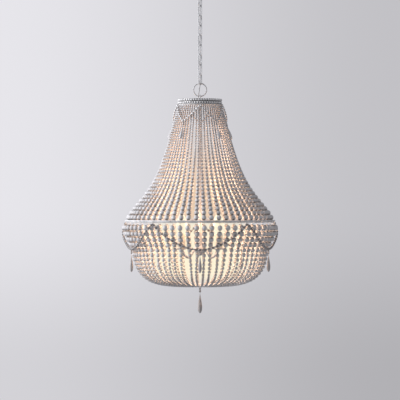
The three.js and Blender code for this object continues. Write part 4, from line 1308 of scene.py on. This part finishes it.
class CHANDELIER_OT_strands(bpy.types.Operator):
    """Upper strands from the crown to the waist, and lower strands under the basket"""

    bl_idname = "chandelier.strands"
    bl_label = "Bead strands"

    def execute(self, context):
        looks = look(context, "whitewashed_wood"), look(context, "whitewashed_iron")
        for swag in range(SWAGS):
            upper, lower = Skin(), Skin()
            crown_wire = CROWN_BOTTOM - GAP - LACE_WIDTH / 2
            lacing(upper, swag, tent_radius(CROWN_BOTTOM), crown_wire)
            lacing(lower, swag, basket_radius(WAIST_WIRE), WAIST_WIRE)
            for index in range(STRANDS):
                azimuth = swag * SWAG_ANGLE + (index + 0.5 - STRANDS / 2) * STRAND_ANGLE
                self.upper_strand(upper, azimuth, crown_wire)
                self.lower_strand(lower, azimuth)
            name = f"upper_strands_{swag + 1}"
            mount(upper.object(f"upper_beads_{swag + 1}", *looks), "shade", name)
            name = f"lower_strands_{swag + 1}"
            mount(lower.object(f"lower_beads_{swag + 1}", *looks), "shade", name)
        return {"FINISHED"}

    @staticmethod
    def upper_strand(skin, azimuth, wire_level):
        """Graded beads from the waist ring up to the crown, a little unevenly spaced."""
        level = np.linspace(WAIST_TOP + GAP, wire_level - LACE_WIDTH / 2, STRAND_STEPS)
        stretch = np.stack([tent_radius(level), level], axis=-1)
        foot = [[tent_radius(WAIST_TOP), WAIST_TOP - OVERRUN]]
        head = [stretch[-1], [tent_radius(CROWN_BOTTOM), wire_level]]
        path = np.concatenate([foot, stretch[::WIRE_STRIDE], head])
        share = (level - WAIST_TOP) / UPPER_HEIGHT
        pitch = tent_bead(level) * np.interp(share, *TENT_PITCH_SHARES) * random.uniform(*PITCH_SHARES)
        strand(skin, azimuth, path, tent_bead, [(stretch, pitch)])

    @staticmethod
    def lower_strand(skin, azimuth):
        """A few large beads, then graded ones round to the bottom ring."""
        large = upright_stretch(LARGE_BEAD_DEPTH, MIDDLE_BEAD_DEPTH)
        middle = upright_stretch(MIDDLE_BEAD_DEPTH, TAIL_BEAD_DEPTH)
        tail = np.stack(basket_point(np.linspace(TAIL_TURN, END_TURN, TAIL_STEPS)), axis=-1)
        hook = [[basket_radius(WAIST_WIRE), WAIST_WIRE]]
        ring_end = [[BOTTOM_OUTER - OVERRUN, BOTTOM_LEVEL]]
        upright = np.concatenate([large[::UPRIGHT_STRIDE], middle[::UPRIGHT_STRIDE]])
        path = np.concatenate([hook, upright, tail[::TAIL_STRIDE], ring_end])
        large_pitch = (MIDDLE_BEAD_DEPTH - LARGE_BEAD_DEPTH) / LARGE_BEADS
        graded = np.concatenate([middle[:-1], tail])
        spread = np.interp(graded[:, 1], BASKET_LEVELS, BASKET_PITCH_SHARES)
        pitch = basket_bead(graded[:, 1]) * spread * random.uniform(*PITCH_SHARES)
        strand(skin, azimuth, path, basket_bead, [(large, large_pitch), (graded, pitch)])


# Garlands, drops and finial


def garland_path(first_tie, tie_level, drop, exponent, radius_at):
    """One turn round the shade that dips between its ties: z = tie - drop (1 - |u| to the exponent)."""
    share = np.linspace(0, 1, GARLAND_STEPS)
    from_lowest = np.abs((share * SWAGS) % 1 * 2 - 1)
    level = tie_level - drop * (1 - from_lowest**exponent)
    return at_azimuth(first_tie + 2 * np.pi * share, radius_at(level), level)


def thread(skin, path):
    """A closed wire through a garland's beads."""
    path = path[:-1:GARLAND_STRIDE]
    return swept(skin, path, THREAD_WIDTH / 2, THREAD_SIDES, path * (1, 1, 0), closed=True, look=1)


def crown_garland_radius(level):
    """The crown garland's distance from the axis: it lies on the strands, or on the crown's flange."""
    under = np.maximum(tent_radius(level) + tent_bead(level) / 2, CROWN_FLANGE_RADIUS)
    return under + 2 * GAP + CROWN_GARLAND_BEAD / 2


def waist_garland_radius(level):
    """The waist garland's distance from the axis: it lies on the large beads.

    Their edge is half a bead out along the strands' normal: r + (w / 2) sqrt(1 + slope^2).
    """
    below = np.minimum(level, WAIST_MIDDLE - LARGE_BEAD_DEPTH)
    slope = (basket_radius(below) - basket_radius(below - OVERRUN)) / OVERRUN
    edge = basket_radius(below) + LARGE_BEAD / 2 * np.sqrt(1 + slope**2)
    return edge + GAP + GARLAND_EASE + WAIST_GARLAND_BEAD / 2


class CHANDELIER_OT_garlands(bpy.types.Operator):
    """Beaded garlands at the crown and at the waist"""

    bl_idname = "chandelier.garlands"
    bl_label = "Garlands"

    def execute(self, context):
        iron = look(context, "whitewashed_iron")
        wood, chalk = look(context, "whitewashed_wood"), look(context, "chalked_wood")
        grey, smoke = look(context, "greyed_wood"), look(context, "smoked_wood")
        tie_level = CROWN_BOTTOM - CROWN_GARLAND_BEAD / 2
        path = garland_path(0, tie_level, CROWN_GARLAND_DROP, CROWN_SWAG_CURVE, crown_garland_radius)
        crown = thread(Skin(), path)
        self.alternating(crown, path, CROWN_GARLAND_BEAD, *CROWN_PAIR_SHARES)
        mount(crown.object("crown_swags", chalk, iron, grey), "shade", "crown_garland")

        first_tie, tie_level = SWAG_ANGLE / 2, WAIST_MIDDLE - WAIST_TIE_DROP
        path = garland_path(first_tie, tie_level, WAIST_GARLAND_DROP, WAIST_SWAG_CURVE, waist_garland_radius)
        waist = thread(Skin(), path)
        self.alternating(waist, path, WAIST_GARLAND_BEAD, *WAIST_PAIR_SHARES)
        mount(waist.object("waist_swags", wood, iron, smoke), "shade", "waist_garland")
        return {"FINISHED"}

    @staticmethod
    def alternating(skin, path, bead, pale_share, pale_width, dark_width):
        """Pale beads with a dark one after each. Each pair shares one pitch."""
        centres, directions, pitch = spaced(path, PAIR_PITCH_SHARE * bead)
        pale_centres = centres - directions * (pitch * (1 - pale_share) / 2)[:, None]
        dark_centres = centres + directions * (pitch * pale_share / 2)[:, None]
        outward = centres * (1, 1, 0)
        beads(skin, pale_centres, directions, outward, bead * pale_width, pitch * pale_share)
        beads(skin, dark_centres, directions, outward, bead * dark_width, pitch * (1 - pale_share), look=2)


TEAR_BELLY_POWER = 2.11
TEAR_ROUND_POWER = 0.56
TEAR_END_SHARES = 0.002, 0.999  # where the outline is taken to start and end
TEAR_TOP_WEAR = 0.5
WIRE_SHARE = 2.3  # of a bead, how far the wire runs down


def teardrop(skin, top, axis, outward, bead, length, width, look_of_bead=0):
    """Two small beads over a slender teardrop, whose radius is (w / 2) sin(pi t to the p) to the q.

    p moves the belly down and q rounds it. The drop is the first look and its wire the third.
    """
    axis, outward = np.array(axis, float), np.array(outward, float)
    centres = top + axis * np.array([[0.5], [1.5]]) * bead
    axes, outwards = np.tile(axis, (2, 1)), np.tile(outward, (2, 1))
    beads(skin, centres, axes, outwards, bead, bead, BEAD_SIDES, look=look_of_bead)
    share = (1 - np.cos(np.linspace(0, np.pi, TEAR_STEPS))) / 2
    swelling = np.sin(np.pi * np.clip(share, *TEAR_END_SHARES) ** TEAR_BELLY_POWER)
    radius = width / 2 * swelling**TEAR_ROUND_POWER
    path = top + axis * (2 * bead + (length - 2 * bead) * share)[:, None]
    wear = np.linspace(TEAR_TOP_WEAR, 0, TEAR_STEPS)[:, None] ** 2
    swept(skin, path, radius, TEAR_SIDES, outward, wear=wear)
    wire = top + axis * np.linspace(-GAP, WIRE_SHARE * bead, DROP_WIRE_STEPS)[:, None]
    return swept(skin, wire, THREAD_WIDTH / 2, LACE_SIDES, outward, look=2)


# Depth and width shares of a tear's outline, where it may touch what it hangs on
TEAR_SHARES = np.array([(0.28, 0.42), (0.52, 0.8), (0.72, 1), (0.9, 0.7), (1, 0)])


def crown_drop_top():
    """Level and radius of the crown drops' tops, just under the garland's lowest bead."""
    lowest = CROWN_BOTTOM - CROWN_GARLAND_BEAD / 2 - CROWN_GARLAND_DROP
    return lowest - CROWN_GARLAND_BEAD / 2 - GAP, crown_garland_radius(lowest)


def crown_drop_lean():
    """The lean that lays a crown drop on the flaring strands: the steepest of atan(clearance / depth)."""
    level, radius = crown_drop_top()
    depth_shares, width_shares = TEAR_SHARES.T
    down = 2 * CROWN_DROP_BEAD + (CROWN_DROP_LENGTH - 2 * CROWN_DROP_BEAD) * depth_shares
    under = tent_radius(level - down) + tent_bead(level - down) / 2
    clear = under + CROWN_DROP_WIDTH / 2 * width_shares + 2 * GAP
    return np.arctan2(clear - radius, down).max()


class CHANDELIER_OT_drops(bpy.types.Operator):
    """Wooden drops on both garlands, and the finial"""

    bl_idname = "chandelier.drops"
    bl_label = "Drops and finial"

    def execute(self, context):
        wood, dark = look(context, "whitewashed_wood"), look(context, "greyed_wood")
        iron = look(context, "whitewashed_iron")
        crown_level, crown_radius = crown_drop_top()
        lean = crown_drop_lean()
        crown_sizes = CROWN_DROP_BEAD, CROWN_DROP_LENGTH, CROWN_DROP_WIDTH
        waist_sizes = WAIST_DROP_BEAD, WAIST_DROP_LENGTH, WAIST_DROP_WIDTH
        waist_radius = waist_garland_radius(WAIST_MIDDLE - WAIST_TIE_DROP - WAIST_GARLAND_DROP)
        for index in range(SWAGS):
            azimuth = (index + 0.5) * SWAG_ANGLE
            node = f"crown_drop_{index + 1}"
            top = at_azimuth(azimuth, crown_radius, crown_level)
            axis = at_azimuth(azimuth, math.sin(lean), -math.cos(lean))
            outward = at_azimuth(azimuth, math.cos(lean), math.sin(lean))
            made = teardrop(Skin(), top, axis, outward, *crown_sizes, look_of_bead=1)
            mount(made.object(f"crown_tear_{index + 1}", wood, dark, iron), node, node)

            azimuth = index * SWAG_ANGLE
            node = f"waist_drop_{index + 1}"
            top = at_azimuth(azimuth, waist_radius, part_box(node)[1].z)
            made = teardrop(Skin(), top, (0, 0, -1), at_azimuth(azimuth, 1, 0), *waist_sizes)
            mount(made.object(f"waist_tear_{index + 1}", dark, dark, iron), node, node)

        top = np.array([0, 0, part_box("finial")[1].z])
        made = teardrop(Skin(), top, (0, 0, -1), (0, -1, 0), FINIAL_BEAD, FINIAL_LENGTH, FINIAL_WIDTH)
        mount(made.object("finial_tear", dark, dark, iron), "finial", "finial")
        return {"FINISHED"}


# Stage

SENSOR_WIDTH = 36  # in millimetres, the camera's own unit
FAR_CLIP = 100
# Slopes of the line of sight between which painted shade darkens the wall, and by how much
WALL_RIGHT_SLOPES, WALL_RIGHT_LOSS = (-0.0786, 0.075), 0.325
WALL_FOOT_SLOPES, WALL_FOOT_LOSS = (-0.0645, 0), 0.18
AHEAD_SLOPES = 0.0, 0.5
# Painted glow on the wall: half width over the basket's radius, then middle and half height over its depth,
# below the waist
BASKET_GLOW_SHARES = 0.97, 0.47, 0.53
TENT_GLOW_TOP = 60 * MM  # half width at the crown
TENT_GLOW_FOOT = 160 * MM  # half width at the waist
TENT_GLOW_START_SHARES = 0.1, 0.8  # of the way down
TENT_GLOW_END_SHARES = 0.98, 1.0
TENT_GLOW_STRENGTH = 0.8
TENT_GLOW_TINT = 0.86, 0.68, 0.58
SOFT_LIGHT = 0.95, 0.96, 1.0
WINDOW_LIGHT = 0.97, 0.98, 1.0
WINDOW_PLACE = -3.05, -0.25, 0.3
WINDOW_TURN = math.radians(68), 0, math.radians(-85)
WINDOW_SIZE = 1.8
LAMP_RADIUS = 20 * MM
SHELTERED = ("candle_sleeve", "candle_bulb", "curved_arm", "stem_tube", "lamp_body", "dome_nut", "waist_hoop")
METAL_SHARE = 0.18  # of the bulbs' light that falls on the lamps' own metal
BULB_REACH_SHARE = 0.8  # of the arms' reach
TENT_LAMP_SHARES = 0.3, 0.55, 0.8  # of the upper strands' height
TENT_REACH_SHARE = 0.4
TENT_POWER_SHARE = 0.12


def basket_glow(aside, level):
    """1 in the middle of the basket and 0 outside a superellipse, x^4 + z^4 = 1 in its own half sizes."""
    width_share, middle_share, height_share = BASKET_GLOW_SHARES
    across = aside * (1 / (BASKET_RADIUS * width_share))
    up = (level - WAIST_MIDDLE + BASKET_DEPTH * middle_share) * (1 / (BASKET_DEPTH * height_share))
    return 1 - ((across * across) ** 2 + (up * up) ** 2).above(0, 1)


def tent_glow(aside, level):
    """1 on the axis and 0 at the sides of a cone below the crown, which fades in on the way down."""
    down = (CROWN_BOTTOM - level) * (1 / UPPER_HEIGHT)
    half_width = down * (TENT_GLOW_FOOT - TENT_GLOW_TOP) + TENT_GLOW_TOP
    inside = 1 - (aside * aside * half_width**-2).above(0, 1)
    return inside * down.above(*TENT_GLOW_START_SHARES) * (1 - down.above(*TENT_GLOW_END_SHARES))


def add_lamp(kind, name, place, power, colour, **settings):
    """A lamp that the camera doesn't see itself."""
    light = bpy.data.lights.new(name, kind)
    light.energy = power
    light.color = colour
    for key, value in settings.items():
        setattr(light, key, value)
    lamp = bpy.data.objects.new(name, light)
    lamp.location = place
    lamp.visible_camera = False
    bpy.context.scene.collection.objects.link(lamp)
    return lamp


class CHANDELIER_OT_stage(bpy.types.Operator):
    """Camera, lamps and pale surroundings"""

    bl_idname = "chandelier.stage"
    bl_label = "Stage"

    def execute(self, context):
        stage = context.scene.chandelier_stage
        self.camera(context, stage)
        self.surroundings(context, stage)
        self.window(stage)
        self.bulb_light(context, stage)
        self.tent_light(stage)
        context.scene.view_settings.view_transform = "Standard"
        return {"FINISHED"}

    def camera(self, context, stage):
        """A long lens straight ahead, as wide as the view at the lamp's axis."""
        lens = bpy.data.cameras.new("view")
        lens.sensor_width = SENSOR_WIDTH
        lens.lens = SENSOR_WIDTH * stage.distance / stage.view_width
        lens.clip_end = FAR_CLIP
        camera = bpy.data.objects.new("view", lens)
        camera.location = (0, -stage.distance, stage.view_level)
        camera.rotation_euler = (math.pi / 2, 0, 0)
        context.scene.collection.objects.link(camera)
        context.scene.camera = camera

    def surroundings(self, context, stage):
        """Even light from all round, and for the eye a pale wall with painted shade, brighter to the upper
        left.

        A painted warm glow, standing for the bulbs' light, fills the wall where the main camera looks through
        the shade: a line of sight meets the plane of the lamp's axis at its slope times the camera's distance.
        """
        world = bpy.data.worlds.new("surroundings")
        context.scene.world = world
        shader = Shader(world)
        way = shader.node("ShaderNodeTexCoord", output="Generated")
        across = shader.node("ShaderNodeSeparateXYZ", {0: way}, output="X")
        forward = shader.node("ShaderNodeSeparateXYZ", {0: way}, output="Y")
        up = shader.node("ShaderNodeSeparateXYZ", {0: way}, output="Z")
        # Painted shade on the wall: darker to the right and towards the foot
        right = 1 - across.above(*WALL_RIGHT_SLOPES) * WALL_RIGHT_LOSS
        foot = up.above(*WALL_FOOT_SLOPES) * WALL_FOOT_LOSS + (1 - WALL_FOOT_LOSS)
        backdrop = {0: tuple(stage.backdrop), "Scale": right * foot}
        wall = shader.node("ShaderNodeVectorMath", backdrop, operation="SCALE")

        aside = across * stage.distance
        level = up * stage.distance + stage.view_level
        ahead = forward.above(*AHEAD_SLOPES)
        # Painted light: the bulbs' warm glow laid on the wall behind the shade
        glow = context.scene.chandelier_finish.glow
        tent_colour = tuple(channel * share for channel, share in zip(glow, TENT_GLOW_TINT)) + (1.0,)
        wall = shader.mix(tent_glow(aside, level) * ahead * TENT_GLOW_STRENGTH, wall, tent_colour)
        wall = shader.mix(basket_glow(aside, level) * ahead, wall, opaque(glow))

        seen = shader.node("ShaderNodeBackground", {"Color": wall, "Strength": 1.0})
        even = shader.node("ShaderNodeBackground", {"Color": opaque(SOFT_LIGHT), "Strength": stage.ambient})
        rays = ("Is Camera Ray", "Is Glossy Ray", "Is Transmission Ray")
        straight, mirrored, through = (shader.node("ShaderNodeLightPath", output=ray) for ray in rays)
        looking = {0: straight + mirrored, 1: through}
        eye = shader.node("ShaderNodeMath", looking, operation="ADD", use_clamp=True)
        shader.end(shader.node("ShaderNodeMixShader", {0: eye, 1: even, 2: seen}), "ShaderNodeOutputWorld")

    def window(self, stage):
        """A large soft lamp on the left, a little in front and above."""
        lamp = add_lamp("AREA", "window", WINDOW_PLACE, stage.window, WINDOW_LIGHT, size=WINDOW_SIZE)
        lamp.rotation_euler = WINDOW_TURN

    def bulb_light(self, context, stage):
        """Warm light from among the bulbs: most of it falls on the beads and not on the lamps' own metal."""
        warm = tuple(stage.lamplight)
        level = WAIST_MIDDLE - SOCKET_DROP + SOCKET_HEIGHT + BULB_HEIGHT / 2
        sheltered = bpy.data.collections.new("sheltered")
        for made in context.scene.objects:
            if made.name.startswith(SHELTERED):
                sheltered.objects.link(made)
        for item in sheltered.collection_objects:
            item.light_linking.link_state = "EXCLUDE"
        for index in range(LAMPS):
            spot = at_azimuth(index * 2 * np.pi / LAMPS, ARM_REACH * BULB_REACH_SHARE, level)
            near, far = stage.inner * METAL_SHARE, stage.inner * (1 - METAL_SHARE)
            add_lamp("POINT", f"near_light_{index + 1}", spot, near, warm, shadow_soft_size=LAMP_RADIUS)
            lamp = add_lamp("POINT", f"bulb_light_{index + 1}", spot, far, warm, shadow_soft_size=LAMP_RADIUS)
            lamp.light_linking.receiver_collection = sheltered

    def tent_light(self, stage):
        """Small warm lamps between the axis and the upper strands, on both sides."""
        colour = tuple(stage.tent_light)
        for side in (-1, 1):
            for share in TENT_LAMP_SHARES:
                level = WAIST_TOP + UPPER_HEIGHT * share
                spot = (side * tent_radius(level) * TENT_REACH_SHARE, 0, level)
                power = stage.inner * TENT_POWER_SHARE * tent_radius(level) / BASKET_RADIUS
                add_lamp("POINT", "tent_light", spot, power, colour, shadow_soft_size=LAMP_RADIUS)


OPERATORS = (
    CHANDELIER_OT_ceiling,
    CHANDELIER_OT_chain,
    CHANDELIER_OT_cord,
    CHANDELIER_OT_crown,
    CHANDELIER_OT_stem,
    CHANDELIER_OT_lamps,
    CHANDELIER_OT_rings,
    CHANDELIER_OT_strands,
    CHANDELIER_OT_garlands,
    CHANDELIER_OT_drops,
    CHANDELIER_OT_stage,
)


class CHANDELIER_PT_panel(bpy.types.Panel):
    """Lists the chandelier's pieces and settings"""

    bl_label = "Chandelier"
    bl_space_type = "VIEW_3D"
    bl_region_type = "UI"
    bl_category = "Chandelier"

    def draw(self, context):
        for settings in (context.scene.chandelier_finish, context.scene.chandelier_stage):
            column = self.layout.column()
            for name in settings.__annotations__:
                column.prop(settings, name)
        for operator in OPERATORS:
            self.layout.operator(operator.bl_idname)


def register():
    for made in (ChandelierFinish, ChandelierStage, *OPERATORS, CHANDELIER_PT_panel):
        bpy.utils.register_class(made)
    bpy.types.Scene.chandelier_finish = PointerProperty(type=ChandelierFinish)
    bpy.types.Scene.chandelier_stage = PointerProperty(type=ChandelierStage)


def unregister():
    del bpy.types.Scene.chandelier_stage
    del bpy.types.Scene.chandelier_finish
    for made in (CHANDELIER_PT_panel, *reversed(OPERATORS), ChandelierStage, ChandelierFinish):
        bpy.utils.unregister_class(made)


def main():
    register()
    for operator in OPERATORS:
        getattr(bpy.ops.chandelier, operator.bl_idname.split(".")[1])()


if __name__ == "__main__":
    main()
